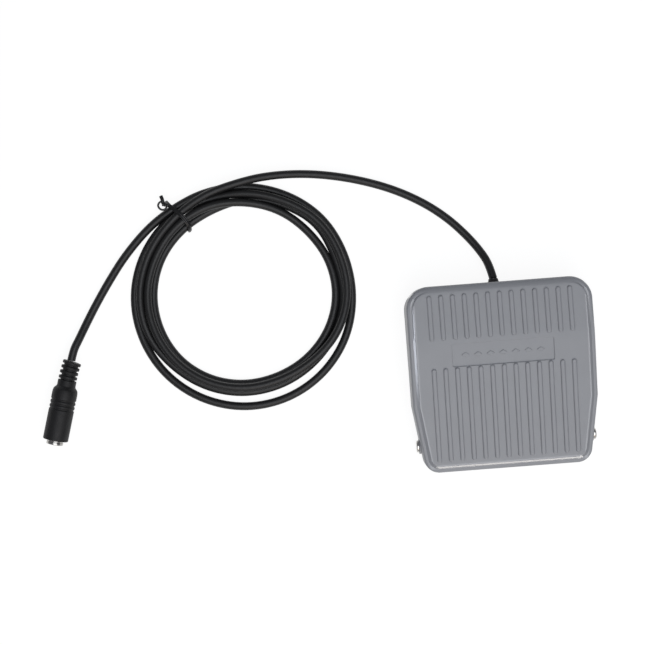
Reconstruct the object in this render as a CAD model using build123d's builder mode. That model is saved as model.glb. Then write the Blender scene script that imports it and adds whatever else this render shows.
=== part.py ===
from build123d import *
from math import cos, pi, radians, sin, tan
import os

# Push-to-talk foot switch: a wedge shaped moulded pedal cover, hinged on a steel pin near its low
# front edge, over a moulded base tray that holds a snap switch, two return springs and the cable.
# The frame is X to the right, Y to the rear, where the cable leaves, and Z up. The origin is the
# middle of the pedal's footprint on the floor. All lengths are millimetres and all angles degrees.

# Pedal cover
pedal_width = 98.0
pedal_length = 99.0
front_width = 87.5
taper_length = 35.7
rear_height = 28.0
tread_slope = 8.0
knee_y = 19.0
knee_radius = 60.0
rear_corner_radius = 12.0
front_corner_radius = 8.0
edge_radius = 2.0
shoulder_drop = 1.1
plateau_inset = 2.8
plateau_radius = 1.0
cover_wall = 2.2
inner_radius = 1.2
skirt_low_edge = 4.3
skirt_slope = 4.5

# Ribs, rim step and label panel on the tread
rib_count = 13
rib_pitch = 6.15
rib_width = 2.5
rib_height = 1.0
rib_root_depth = 1.2
rear_rib_start = 44.5
rear_rib_end = 20.7
front_rib_start = 6.2
front_rib_end = -43.7
rib_edge_radius = 0.7
panel_width = 53.6
panel_length = 11.9
panel_y = 12.4
panel_depth = 0.7
panel_corner_radius = 0.8
lozenge_count = 7
lozenge_pitch = 6.6
lozenge_length = 4.2
lozenge_width = 2.6
lozenge_height = 0.4
ceiling_drop = 2.7
ceiling_rib_height = 3.0
ceiling_rib_width = 1.4
ceiling_rib_x = 12.0
ceiling_rib_y = 24.0
hanger_root = 0.5

# Base tray and floor mat
mat_thickness = 2.0
mat_proud = 0.8
mat_inset = 9.0
mat_groove_count = 9
mat_groove_pitch = 8.0
mat_groove_width = 2.0
mat_groove_depth = 0.5
base_floor = 2.0
flange_inset = 0.4
flange_height = 2.8
base_wall = 2.0
base_wall_gap = 1.6
base_wall_top = 14.0
base_rib_height = 3.0
base_rib_width = 1.6
base_rib_x = 16.0
base_rib_front = -40.0
base_rib_rear = 29.0
base_cross_rib_y = -24.0

# Hinge
hinge_from_front = 14.2
hinge_height = 10.0
pin_radius = 1.5
pin_running_gap = 0.05
hinge_boss_radius = 4.0
hinge_boss_proud = 0.85
hinge_boss_inside = 0.65
pin_head_radius = 3.2
pin_head_thickness = 1.1
pin_head_dome = 0.6
pin_end_gap = 0.3
pin_cap_radius = 3.2
pin_cap_thickness = 1.5
pin_cap_skin = 0.5
lug_length = 6.0
lug_radius = 4.6

# Return springs
spring_x = 27.0
spring_y = 14.0
spring_outer_radius = 4.5
spring_wire_radius = 0.45
spring_turns = 6.0
spring_length = 16.0
spring_side_gap = 0.5
spring_spigot_height = 5.0
spring_peg_height = 3.5
spring_seat_radius = 6.0

# Snap switch
switch_length = 19.8
switch_height = 9.5
switch_thickness = 6.4
switch_lift = 3.0
switch_front_y = -11.4
switch_hole_pitch = 9.5
switch_hole_height = 2.6
switch_hole_radius = 1.2
switch_edge_radius = 0.4
lever_hinge_inset = 1.4
lever_hinge_lift = 1.3
lever_rest_angle = 9.0
lever_length = 15.0
lever_width = 4.0
lever_thickness = 0.4
lever_knuckle_radius = 0.8
lever_trunnion_radius = 0.45
lever_running_gap = 0.05
lever_side_gap = 0.2
ear_radius = 1.1
ear_thickness = 1.0
ear_root = 1.0
contact_from_lever_hinge = 13.0
actuator_gap = 0.35
actuator_width = 6.0
actuator_thickness = 3.0
plunger_from_lever_hinge = 4.5
plunger_radius = 1.2
plunger_running_gap = 0.06
plunger_length = 5.0
plunger_lever_gap = 0.3
plunger_bore_depth = 5.0
plunger_edge_radius = 0.3
terminal_width = 3.2
terminal_thickness = 0.5
terminal_drop = 2.4
terminal_seat = 1.5
terminal_hole_radius = 0.6
common_terminal_inset = 2.4
open_terminal_inset = 10.5
closed_terminal_inset = 17.4
bracket_thickness = 2.2
bracket_side = 1.0
bracket_height = 10.0
bracket_boss_radius = 2.6
bracket_boss_length = 3.0
switch_screw_radius = 1.1
switch_screw_head_radius = 2.0
switch_screw_head_height = 1.3
screw_slot_width = 0.6
screw_slot_depth = 0.6

# Stops
stop_x = 36.0
stop_y = 38.0
stop_radius = 3.0
stop_height = 9.0
press_angle = 4.0
stop_gap = 0.4
hook_x = 22.0
hook_y = 36.0
hook_width = 8.0
hook_thickness = 2.2
hook_barb = 2.3
hook_barb_height = 2.0
hook_gap = 0.35
hook_side_gap = 0.8
catch_height = 10.5
catch_lip_thickness = 2.0
catch_lip = 2.2
catch_wall = 2.4

# Cable, grommet and clamp
cable_diameter = 4.4
cable_height = 9.0
grommet_body_radius = 3.4
grommet_flange_radius = 4.4
grommet_flange_thickness = 1.0
grommet_nozzle_radius = 3.0
grommet_nozzle_end = 2.4
grommet_edge_radius = 0.4
notch_gap = 1.0
clamp_from_rear = 14.5
clamp_length = 7.0
clamp_half_width = 9.0
clamp_thickness = 1.8
clamp_seat_drop = 0.4
clamp_screw_x = 6.4
clamp_screw_radius = 1.2
clamp_screw_head_radius = 2.3
clamp_screw_head_height = 1.5
clamp_screw_depth = 5.0
wire_radius = 0.65
wire_side = 1.0
wire_straight_run = 3.0
route_share = 0.45
relief_run = 5.6

# Cable coil and tie
coil_centre = (-134.6, 52.6)
coil_inner_radius = 46.2
coil_outer_radius = 61.8
coil_height = 8.8
coil_edge_radius = 3.2
tie_angle = 123.6
tie_wire_radius = 0.7
tie_inner_radius = 45.0
tie_outer_radius = 65.0
tie_top = 10.4
tie_corner_radius = 3.2
tie_bottom = 0.7
tie_tail_length = 9.0
tie_tail_rise = -0.15
tie_tail_radius = 1.1

# Inline socket at the far end of the cable
socket_start = (-230.0, 24.8)
socket_azimuth = 254.3
barrel_radius = 6.75
relief_ring_radius = 4.95
relief_neck_radius = 3.9
relief_ring_pitch = 2.85
relief_ring_width = 1.45
relief_ring_count = 4
collar_length = 2.6
shoulder_length = 3.2
shoulder_lead = 0.6
barrel_edge_radius = 0.6
barrel_end = 43.7
grip_groove_first = 21.9
grip_groove_pitch = 2.3
grip_groove_count = 3
grip_groove_width = 1.1
grip_groove_depth = 0.35
nose_radius = 4.5
nose_proud = 2.4
nose_length = 13.0
nose_chamfer = 0.35
jack_bore_radius = 1.8
insulator_length = 7.0
contact_thickness = 0.3
contact_width = 1.6
contact_length = 4.4
contact_seat = 1.4
contact_room = 0.9
insulator_hollow = 5.0

# Limits that faces and edges are picked by
aligned_angle = 8.0
facing_angle = 25.0
touching = 0.01

# Worked out from the sizes above
aligned = cos(radians(aligned_angle))
facing_up = cos(radians(facing_angle))
half_length = pedal_length / 2
hinge_y = -half_length + hinge_from_front
taper_y = -half_length + taper_length
base_bottom = mat_proud
mat_top = mat_thickness
floor_top = mat_top + base_floor
base_wall_inset = cover_wall + base_wall_gap
base_inside_inset = base_wall_inset + base_wall
clamp_y = half_length - clamp_from_rear
inner_cable_end_y = clamp_y - clamp_length
cable_radius = cable_diameter / 2
switch_bottom = floor_top + switch_lift
switch_top = switch_bottom + switch_height
lever_hinge_y = switch_front_y + lever_hinge_inset
lever_hinge_z = switch_top + lever_hinge_lift
contact_y = lever_hinge_y + contact_from_lever_hinge * cos(radians(lever_rest_angle))
contact_z = lever_hinge_z + contact_from_lever_hinge * sin(radians(lever_rest_angle)) + lever_thickness / 2


def tread_z(y):
    """Height of the tread surface over a point of the length."""
    return rear_height - max(0.0, knee_y - y) * tan(radians(tread_slope))


def half_width(y):
    """Half the pedal's width at a point of the length."""
    if y > taper_y:
        return pedal_width / 2
    return pedal_width / 2 - (pedal_width - front_width) / 2 * (taper_y - y) / taper_length


def pedal_outline(inset, z=0.0):
    """The pedal's plan outline at a height, set in by a distance."""
    with BuildSketch(Plane.XY.offset(z)) as outline:
        with BuildLine():
            Polyline(
                (-pedal_width / 2, half_length),
                (pedal_width / 2, half_length),
                (pedal_width / 2, taper_y),
                (front_width / 2, -half_length),
                (-front_width / 2, -half_length),
                (-pedal_width / 2, taper_y),
                close=True,
            )
        make_face()
        fillet(outline.vertices().group_by(Axis.Y)[-1], rear_corner_radius)
        fillet(outline.vertices().group_by(Axis.Y)[0], front_corner_radius)
        if inset > 0:
            offset(amount=-inset, mode=Mode.REPLACE)
    return outline.sketch


def wedge_block(inset, drop, top_radius):
    """A solid block under the tread, set in from the outline and lowered, with a rounded top."""
    with BuildPart() as block:
        extrude(pedal_outline(inset), amount=rear_height)
        with BuildSketch(Plane.YZ):
            with BuildLine():
                knee = tread_z(knee_y) - drop
                front = tread_z(-pedal_length) - drop
                FilletPolyline(
                    (pedal_length, knee), (knee_y, knee), (-pedal_length, front), radius=knee_radius
                )
                Polyline(
                    (-pedal_length, front),
                    (-pedal_length, 2 * rear_height),
                    (pedal_length, 2 * rear_height),
                    (pedal_length, knee),
                )
            make_face()
        extrude(amount=pedal_width, both=True, mode=Mode.SUBTRACT)
        if top_radius > 0:
            top_faces = block.faces().filter_by(lambda face: face.normal_at().Z > facing_up)
            inner_edges = [edge for edge in top_faces.edges() if abs(edge.tangent_at(0.5).X) > aligned]
            rim = [
                edge
                for edge in top_faces.edges()
                if edge not in inner_edges or abs(abs(edge.center().Y) - (half_length - inset)) < touching
            ]
            fillet(rim, top_radius)
    return block.part


def tread_plane(y):
    """A plane lying on the tread at a point of the length, with its X to the right."""
    slope = 0 if y > knee_y else radians(tread_slope)
    return Plane(origin=(0, y, tread_z(y)), x_dir=(1, 0, 0), z_dir=(0, -sin(slope), cos(slope)))


def rib_row(start, end):
    """One row of round-ended ribs standing on the tread."""
    plane = tread_plane((start + end) / 2)
    length = (start - end) / plane.z_dir.Z
    with BuildPart() as row:
        with BuildSketch(plane.offset(-rib_root_depth)):
            with GridLocations(rib_pitch, 0, rib_count, 1):
                SlotOverall(length, rib_width, rotation=90)
        extrude(amount=rib_root_depth + rib_height)
        tops = row.faces().filter_by(lambda face: face.normal_at().dot(plane.z_dir) > aligned)
        fillet(tops.edges(), rib_edge_radius)
    return row.part


def drop_at(y):
    """How far a point of the pedal's length sinks when the pedal is fully pressed."""
    return (y - hinge_y) * sin(radians(press_angle))


def block(x_low, x_high, y_low, y_high, z_low, z_high, mode=Mode.ADD):
    """A plain block between six faces, for the part that is open."""
    with Locations(((x_low + x_high) / 2, (y_low + y_high) / 2, (z_low + z_high) / 2)):
        Box(x_high - x_low, y_high - y_low, z_high - z_low, mode=mode)


def post(x, y, z_low, z_high, radius, mode=Mode.ADD):
    """An upright round post, for the part that is open."""
    with Locations((x, y, z_low)):
        Cylinder(radius, z_high - z_low, align=(Align.CENTER, Align.CENTER, Align.MIN), mode=mode)


def cross_bar(x_low, x_high, y, z, radius, mode=Mode.ADD):
    """A round bar that lies along X, for the part that is open."""
    with Locations(Location(((x_low + x_high) / 2, y, z), (0, 90, 0))):
        Cylinder(radius, x_high - x_low, mode=mode)


def length_bar(x, y_low, y_high, z, radius, mode=Mode.ADD):
    """A round bar that lies along Y, for the part that is open."""
    with Locations(Location((x, (y_low + y_high) / 2, z), (90, 0, 0))):
        Cylinder(radius, y_high - y_low, mode=mode)


# Cover: shoulder block, raised tread and hollow
shoulder_block = wedge_block(0, shoulder_drop, edge_radius)
tread_block = wedge_block(plateau_inset, 0, plateau_radius)
hollow_block = wedge_block(cover_wall, ceiling_drop, inner_radius)
root_block = wedge_block(cover_wall, ceiling_drop - hanger_root, 0)
under_rib_block = wedge_block(0, ceiling_drop + ceiling_rib_height, 0)

# What hangs from the cover's ceiling: spring seats and pegs, stops, hooks and the actuator rib
spring_top = floor_top + spring_length
spring_inner_radius = spring_outer_radius - 2 * spring_wire_radius
spring_peg_radius = spring_inner_radius - spring_side_gap
stop_top = floor_top + stop_height
stop_low = stop_top + drop_at(stop_y) + stop_gap
catch_top = floor_top + catch_height
barb_top = catch_top - catch_lip_thickness - hook_gap
barb_low = barb_top - hook_barb_height
actuator_low = contact_z + actuator_gap
with BuildPart() as cover_hangers:
    for side in (-1, 1):
        post(side * spring_x, spring_y, spring_top, rear_height, spring_seat_radius)
        post(side * spring_x, spring_y, spring_top - spring_peg_height, spring_top, spring_peg_radius)
        post(side * stop_x, stop_y, stop_low, rear_height, stop_radius)
        hook_left = side * hook_x - hook_width / 2
        with BuildSketch(Plane.YZ.offset(hook_left)):
            with BuildLine():
                Polyline(
                    (hook_y - hook_thickness, barb_low),
                    (hook_y, barb_low),
                    (hook_y + hook_barb, barb_low + hook_barb_height / 2),
                    (hook_y + hook_barb, barb_top),
                    (hook_y, barb_top),
                    (hook_y, rear_height),
                    (hook_y - hook_thickness, rear_height),
                    close=True,
                )
            make_face()
        extrude(amount=hook_width)
    half_tip = actuator_thickness / 2
    cross_bar(-actuator_width / 2, actuator_width / 2, contact_y, actuator_low + half_tip, half_tip)
    block(
        -actuator_width / 2,
        actuator_width / 2,
        contact_y - half_tip,
        contact_y + half_tip,
        actuator_low + half_tip,
        rear_height,
    )
    add(root_block, mode=Mode.INTERSECT)

# Stiffening ribs under the ceiling: two along the pedal and one across it
with BuildPart() as cover_ribs:
    for x in (-ceiling_rib_x, ceiling_rib_x):
        block(
            x - ceiling_rib_width / 2,
            x + ceiling_rib_width / 2,
            hinge_y + hinge_boss_radius,
            half_length,
            0,
            rear_height,
        )
    block(
        -pedal_width / 2,
        pedal_width / 2,
        ceiling_rib_y - ceiling_rib_width / 2,
        ceiling_rib_y + ceiling_rib_width / 2,
        0,
        rear_height,
    )
    add(root_block, mode=Mode.INTERSECT)
    add(under_rib_block, mode=Mode.SUBTRACT)

# One plain lozenge of the row that fills the label panel
with BuildSketch() as lozenge:
    with BuildLine():
        Polyline(
            (-lozenge_length / 2, 0),
            (0, -lozenge_width / 2),
            (lozenge_length / 2, 0),
            (0, lozenge_width / 2),
            close=True,
        )
    make_face()

hinge_boss_outer = half_width(hinge_y) + hinge_boss_proud
hinge_boss_inner = half_width(hinge_y) - cover_wall - hinge_boss_inside
notch_radius = grommet_nozzle_radius + notch_gap
notch_centre_z = cable_height + drop_at(half_length)
panel_plane = tread_plane(panel_y)
with BuildPart() as pedal_cover:
    add(shoulder_block)
    add(tread_block)
    add(hollow_block, mode=Mode.SUBTRACT)
    add(cover_hangers.part)
    add(cover_ribs.part)
    # The skirt's low edge rises to the rear, so that it closes along the flange when pressed.
    with BuildSketch(Plane.YZ):
        with BuildLine():
            skirt_rise = (pedal_length - hinge_y) * tan(radians(skirt_slope))
            Polyline(
                (-pedal_length, -rear_height),
                (pedal_length, -rear_height),
                (pedal_length, skirt_low_edge + skirt_rise),
                (hinge_y, skirt_low_edge),
                (-pedal_length, skirt_low_edge),
                close=True,
            )
        make_face()
    extrude(amount=pedal_width, both=True, mode=Mode.SUBTRACT)
    for side in (-1, 1):
        ends = sorted((side * hinge_boss_inner, side * hinge_boss_outer))
        cross_bar(*ends, hinge_y, hinge_height, hinge_boss_radius)
    cross_bar(
        -pedal_width, pedal_width, hinge_y, hinge_height, pin_radius + pin_running_gap, mode=Mode.SUBTRACT
    )
    # A round-topped notch in the rear skirt clears the grommet over the whole travel.
    length_bar(
        0, half_length - 2 * cover_wall, 2 * half_length, notch_centre_z, notch_radius, mode=Mode.SUBTRACT
    )
    block(
        -notch_radius,
        notch_radius,
        half_length - 2 * cover_wall,
        2 * half_length,
        0,
        notch_centre_z,
        mode=Mode.SUBTRACT,
    )
    add(rib_row(rear_rib_start, rear_rib_end))
    add(rib_row(front_rib_start, front_rib_end))
    with BuildSketch(panel_plane.offset(-panel_depth)):
        RectangleRounded(panel_width, panel_length / panel_plane.z_dir.Z, panel_corner_radius)
    extrude(amount=rear_height, mode=Mode.SUBTRACT)
    with BuildSketch(panel_plane.offset(-panel_depth)):
        with GridLocations(lozenge_pitch, 0, lozenge_count, 1):
            add(lozenge.sketch)
    extrude(amount=lozenge_height)
pedal_cover.part.label = "pedal_cover"

# Base tray: flange, walls, floor ribs, hinge lugs and every post that carries a piece
bracket_left = -switch_thickness / 2 - bracket_thickness
switch_middle_y = switch_front_y + switch_length / 2
switch_hole_z = switch_bottom + switch_hole_height
screw_places = [switch_middle_y - switch_hole_pitch / 2, switch_middle_y + switch_hole_pitch / 2]
wall_outside_y = half_length - base_wall_inset
wall_inside_y = half_length - base_inside_inset
cradle_top = cable_height - clamp_seat_drop
lug_inner = half_width(hinge_y) - base_inside_inset - lug_length
catch_front = hook_y + hook_side_gap
with BuildPart() as base_tray:
    extrude(pedal_outline(flange_inset, base_bottom), amount=flange_height)
    extrude(pedal_outline(base_wall_inset, base_bottom), amount=base_wall_top - base_bottom)
    extrude(pedal_outline(base_inside_inset, floor_top), amount=base_wall_top, mode=Mode.SUBTRACT)
    extrude(pedal_outline(mat_inset), amount=mat_top, mode=Mode.SUBTRACT)
    # Stiffening ribs on the floor
    rib_top = floor_top + base_rib_height
    for x in (-base_rib_x, base_rib_x):
        block(
            x - base_rib_width / 2, x + base_rib_width / 2, base_rib_front, base_rib_rear, floor_top, rib_top
        )
    block(
        -pedal_width / 2 + base_inside_inset,
        pedal_width / 2 - base_inside_inset,
        base_cross_rib_y - base_rib_width / 2,
        base_cross_rib_y + base_rib_width / 2,
        floor_top,
        rib_top,
    )
    # Hinge lugs with round tops, and the pin's hole through lugs and walls
    for side in (-1, 1):
        with BuildSketch(Plane.YZ.offset(side * lug_inner)):
            with Locations((hinge_y, hinge_height)):
                Circle(lug_radius)
            with Locations((hinge_y, floor_top)):
                Rectangle(2 * lug_radius, hinge_height - floor_top, align=(Align.CENTER, Align.MIN))
        extrude(amount=side * (lug_length + base_wall / 2))
    cross_bar(-pedal_width / 2, pedal_width / 2, hinge_y, hinge_height, pin_radius, mode=Mode.SUBTRACT)
    # Spring spigots and travel stops
    for side in (-1, 1):
        post(side * spring_x, spring_y, floor_top, floor_top + spring_spigot_height, spring_peg_radius)
        post(side * stop_x, stop_y, floor_top, stop_top, stop_radius)
        # A catch wall whose lip holds the cover's hook down
        catch_left = side * hook_x - hook_width / 2
        with BuildSketch(Plane.YZ.offset(catch_left)):
            with BuildLine():
                Polyline(
                    (catch_front + catch_lip + catch_wall, floor_top),
                    (catch_front + catch_lip + catch_wall, catch_top),
                    (catch_front, catch_top),
                    (catch_front, catch_top - catch_lip_thickness),
                    (catch_front + catch_lip, catch_top - catch_lip_thickness),
                    (catch_front + catch_lip, floor_top),
                    close=True,
                )
            make_face()
        extrude(amount=hook_width)
    # Upright bracket with two bosses, which the switch is screwed to
    block(
        bracket_left,
        -switch_thickness / 2,
        switch_front_y - bracket_side,
        switch_front_y + switch_length + bracket_side,
        floor_top,
        floor_top + bracket_height,
    )
    for y in screw_places:
        cross_bar(bracket_left - bracket_boss_length, bracket_left, y, switch_hole_z, bracket_boss_radius)
        cross_bar(
            bracket_left - bracket_boss_length,
            0,
            y,
            switch_hole_z,
            switch_screw_radius,
            mode=Mode.SUBTRACT,
        )
    # Cradle under the cable, with its two screw holes
    block(
        -clamp_half_width,
        clamp_half_width,
        clamp_y - clamp_length / 2,
        clamp_y + clamp_length / 2,
        floor_top,
        cradle_top,
    )
    length_bar(
        0, clamp_y - clamp_length, clamp_y + clamp_length / 2, cable_height, cable_radius, mode=Mode.SUBTRACT
    )
    for side in (-1, 1):
        post(
            side * clamp_screw_x,
            clamp_y,
            cradle_top - clamp_screw_depth + clamp_thickness,
            cradle_top,
            clamp_screw_radius,
            mode=Mode.SUBTRACT,
        )
    # Round hole in the rear wall for the grommet
    hole_start = wall_inside_y - base_wall
    length_bar(0, hole_start, half_length, cable_height, grommet_body_radius, mode=Mode.SUBTRACT)
base_tray.part.label = "base_tray"

# Rubber mat in the recess under the base, with shallow grip grooves
with BuildPart() as anti_slip_mat:
    extrude(pedal_outline(mat_inset), amount=mat_thickness)
    for index in range(mat_groove_count):
        y = (index - (mat_groove_count - 1) / 2) * mat_groove_pitch
        block(
            -pedal_width,
            pedal_width,
            y - mat_groove_width / 2,
            y + mat_groove_width / 2,
            -mat_groove_depth,
            mat_groove_depth,
            mode=Mode.SUBTRACT,
        )
anti_slip_mat.part.label = "anti_slip_mat"

# Hinge pin with a domed head at the left, and the push-on cap over its right end
head_face = hinge_boss_outer + pin_end_gap
pin_right_end = head_face + pin_cap_thickness - pin_cap_skin
with BuildPart() as hinge_pin:
    cross_bar(-head_face, pin_right_end, hinge_y, hinge_height, pin_radius)
    cross_bar(-head_face - pin_head_thickness, -head_face, hinge_y, hinge_height, pin_head_radius)
    rim_edges = hinge_pin.edges().filter_by(GeomType.CIRCLE).sort_by(Axis.X)
    fillet(rim_edges[0], pin_head_thickness * pin_head_dome)
hinge_pin.part.label = "hinge_pin"

with BuildPart() as hinge_pin_cap:
    cross_bar(head_face, head_face + pin_cap_thickness, hinge_y, hinge_height, pin_cap_radius)
    cap_edges = hinge_pin_cap.edges().filter_by(GeomType.CIRCLE).sort_by(Axis.X)
    fillet(cap_edges[-1], pin_cap_thickness * pin_head_dome)
    cross_bar(head_face, pin_right_end, hinge_y, hinge_height, pin_radius, mode=Mode.SUBTRACT)
hinge_pin_cap.part.label = "hinge_pin_cap"


def return_spring(x):
    """A compression spring with ground ends, standing between the base and the cover."""
    coil_radius = spring_outer_radius - spring_wire_radius
    pitch = spring_length / spring_turns
    with BuildPart() as spring:
        with BuildLine():
            wire_line = Helix(
                pitch=pitch,
                height=spring_length + pitch,
                radius=coil_radius,
                center=(x, spring_y, floor_top - pitch / 2),
            )
        with BuildSketch(Plane(origin=wire_line @ 0, z_dir=wire_line % 0)):
            Circle(spring_wire_radius)
        sweep(is_frenet=True)
        block(
            x - spring_length,
            x + spring_length,
            spring_y - spring_length,
            spring_y + spring_length,
            floor_top,
            spring_top,
            mode=Mode.INTERSECT,
        )
    return spring.part


return_spring_left = return_spring(-spring_x)
return_spring_left.label = "return_spring_left"
return_spring_right = return_spring(spring_x)
return_spring_right.label = "return_spring_right"

# Snap switch case with two ears for the lever, a bore for the plunger and slots for the terminals
switch_rear_y = switch_front_y + switch_length
ear_inner = lever_width / 2 + lever_side_gap
plunger_y = lever_hinge_y + plunger_from_lever_hinge * cos(radians(lever_rest_angle))
common_y = switch_front_y + common_terminal_inset
open_y = switch_front_y + open_terminal_inset
closed_y = switch_front_y + closed_terminal_inset


def terminal_block(y, mode=Mode.ADD):
    """The flat blade of one terminal, for the part that is open."""
    block(
        -terminal_thickness / 2,
        terminal_thickness / 2,
        y - terminal_width / 2,
        y + terminal_width / 2,
        switch_bottom - terminal_drop,
        switch_bottom + terminal_seat,
        mode=mode,
    )


with BuildPart() as switch_case:
    block(
        -switch_thickness / 2,
        switch_thickness / 2,
        switch_front_y,
        switch_rear_y,
        switch_bottom,
        switch_top,
    )
    fillet(switch_case.edges().filter_by(Axis.X), switch_edge_radius)
    for side in (-1, 1):
        ends = sorted((side * ear_inner, side * (ear_inner + ear_thickness)))
        cross_bar(*ends, lever_hinge_y, lever_hinge_z, ear_radius)
        block(
            *ends,
            lever_hinge_y - ear_radius,
            lever_hinge_y + ear_radius,
            switch_top - ear_root,
            lever_hinge_z,
        )
    trunnion_hole = lever_trunnion_radius + lever_running_gap
    cross_bar(
        -switch_thickness, switch_thickness, lever_hinge_y, lever_hinge_z, trunnion_hole, mode=Mode.SUBTRACT
    )
    plunger_bore = plunger_radius + plunger_running_gap
    post(0, plunger_y, switch_top - plunger_bore_depth, switch_top, plunger_bore, mode=Mode.SUBTRACT)
    for y in screw_places:
        cross_bar(
            -switch_thickness, switch_thickness, y, switch_hole_z, switch_hole_radius, mode=Mode.SUBTRACT
        )
    for y in (common_y, open_y, closed_y):
        terminal_block(y, mode=Mode.SUBTRACT)
switch_case.part.label = "switch_case"

# Sheet lever with a rolled knuckle and two trunnions, resting tilted up to the rear
lever_plane = Plane(
    origin=(0, lever_hinge_y, lever_hinge_z),
    x_dir=(0, cos(radians(lever_rest_angle)), sin(radians(lever_rest_angle))),
    z_dir=(1, 0, 0),
)
with BuildPart() as switch_lever:
    with BuildSketch(lever_plane):
        with Locations((lever_length / 2, 0)):
            Rectangle(lever_length, lever_thickness)
        Circle(lever_knuckle_radius)
    extrude(amount=lever_width / 2, both=True)
    trunnion_reach = ear_inner + ear_thickness
    cross_bar(-trunnion_reach, trunnion_reach, lever_hinge_y, lever_hinge_z, lever_trunnion_radius)
switch_lever.part.label = "switch_lever"

# Plunger that the lever pushes into the switch
plunger_clear = plunger_lever_gap + lever_thickness / 2
plunger_top = lever_hinge_z + plunger_from_lever_hinge * sin(radians(lever_rest_angle)) - plunger_clear
with BuildPart() as switch_plunger:
    post(0, plunger_y, plunger_top - plunger_length, plunger_top, plunger_radius)
    fillet(switch_plunger.edges().group_by(Axis.Z)[-1], plunger_edge_radius)
switch_plunger.part.label = "switch_plunger"


def switch_terminal(y):
    """One solder terminal: a flat blade with a wire hole near its tip."""
    with BuildPart() as terminal:
        terminal_block(y)
        hole_z = switch_bottom - terminal_drop / 2
        with Locations(Location((0, y, hole_z), (0, 90, 0))):
            Cylinder(terminal_hole_radius, terminal_width, mode=Mode.SUBTRACT)
    return terminal.part


terminal_common = switch_terminal(common_y)
terminal_common.label = "terminal_common"
terminal_normally_open = switch_terminal(open_y)
terminal_normally_open.label = "terminal_normally_open"
terminal_normally_closed = switch_terminal(closed_y)
terminal_normally_closed.label = "terminal_normally_closed"

# Two pan head screws that hold the switch to its bracket
screw_end = bracket_left - bracket_boss_length
with BuildPart() as switch_screws:
    for y in screw_places:
        head_start = switch_thickness / 2
        head_end = head_start + switch_screw_head_height
        cross_bar(screw_end, head_start, y, switch_hole_z, switch_screw_radius)
        cross_bar(head_start, head_end, y, switch_hole_z, switch_screw_head_radius)
        block(
            head_end - screw_slot_depth,
            head_end,
            y - switch_screw_head_radius,
            y + switch_screw_head_radius,
            switch_hole_z - screw_slot_width / 2,
            switch_hole_z + screw_slot_width / 2,
            mode=Mode.SUBTRACT,
        )
switch_screws.part.label = "switch_screws"

# Saddle clamp that holds the cable down on its cradle, and its two screws
clamp_top = cradle_top + clamp_thickness
with BuildPart() as cable_clamp:
    with BuildSketch(Plane.XZ.offset(-clamp_y)):
        with Locations((0, (cradle_top + clamp_top) / 2)):
            Rectangle(2 * clamp_half_width, clamp_thickness)
        with Locations((0, cable_height)):
            Circle(cable_radius + clamp_thickness)
            Circle(cable_radius, mode=Mode.SUBTRACT)
        with Locations((0, cradle_top - rear_height / 2)):
            Rectangle(2 * clamp_half_width, rear_height, mode=Mode.SUBTRACT)
    extrude(amount=clamp_length / 2, both=True)
    for side in (-1, 1):
        post(side * clamp_screw_x, clamp_y, 0, clamp_top, clamp_screw_radius, mode=Mode.SUBTRACT)
cable_clamp.part.label = "cable_clamp"

with BuildPart() as clamp_screws:
    for side in (-1, 1):
        x = side * clamp_screw_x
        clamp_head_top = clamp_top + clamp_screw_head_height
        post(x, clamp_y, clamp_top - clamp_screw_depth, clamp_top, clamp_screw_radius)
        post(x, clamp_y, clamp_top, clamp_head_top, clamp_screw_head_radius)
        block(
            x - clamp_screw_head_radius,
            x + clamp_screw_head_radius,
            clamp_y - screw_slot_width / 2,
            clamp_y + screw_slot_width / 2,
            clamp_head_top - screw_slot_depth,
            clamp_head_top,
            mode=Mode.SUBTRACT,
        )
clamp_screws.part.label = "clamp_screws"

# Rubber grommet in the rear wall: inner flange, body, outer flange and nozzle
nozzle_end_y = half_length + grommet_nozzle_end
with BuildPart() as cable_grommet:
    length_bar(0, wall_inside_y, wall_outside_y, cable_height, grommet_body_radius)
    length_bar(
        0, wall_inside_y - grommet_flange_thickness, wall_inside_y, cable_height, grommet_flange_radius
    )
    length_bar(
        0, wall_outside_y, wall_outside_y + grommet_flange_thickness, cable_height, grommet_flange_radius
    )
    length_bar(0, wall_outside_y, nozzle_end_y, cable_height, grommet_nozzle_radius)
    nozzle_rim = cable_grommet.edges().filter_by(GeomType.CIRCLE).sort_by(Axis.Y)[-1]
    fillet(nozzle_rim, grommet_edge_radius)
    length_bar(0, 0, 2 * half_length, cable_height, cable_radius, mode=Mode.SUBTRACT)
cable_grommet.part.label = "cable_grommet"

# The cable's straight end inside the housing, from the clamp through the grommet
with BuildPart() as cable_inner_end:
    length_bar(0, inner_cable_end_y, nozzle_end_y, cable_height, cable_radius)
cable_inner_end.part.label = "cable_inner_end"


def corner_radii(points, share):
    """The radius of each corner of a route: a share of its shorter run over the half turn's tangent."""
    radii = []
    for before, corner, after in zip(points, points[1:], points[2:]):
        run_in = Vector(*corner) - Vector(*before)
        run_out = Vector(*after) - Vector(*corner)
        half_turn = radians(run_in.get_angle(run_out)) / 2
        radii.append(share * min(run_in.length, run_out.length) / tan(half_turn))
    return radii


def tube(points, radius, share=route_share):
    """A round tube along straight runs joined by tangent arcs, with the length of its middle line."""
    radii = corner_radii(points, share)
    with BuildPart() as run:
        with BuildLine() as route:
            FilletPolyline(*points, radius=radii)
        with BuildSketch(Plane(origin=points[0], z_dir=Vector(*points[1]) - Vector(*points[0]))):
            Circle(radius)
        sweep()
    return run.part, route.wire().length, radii


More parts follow.
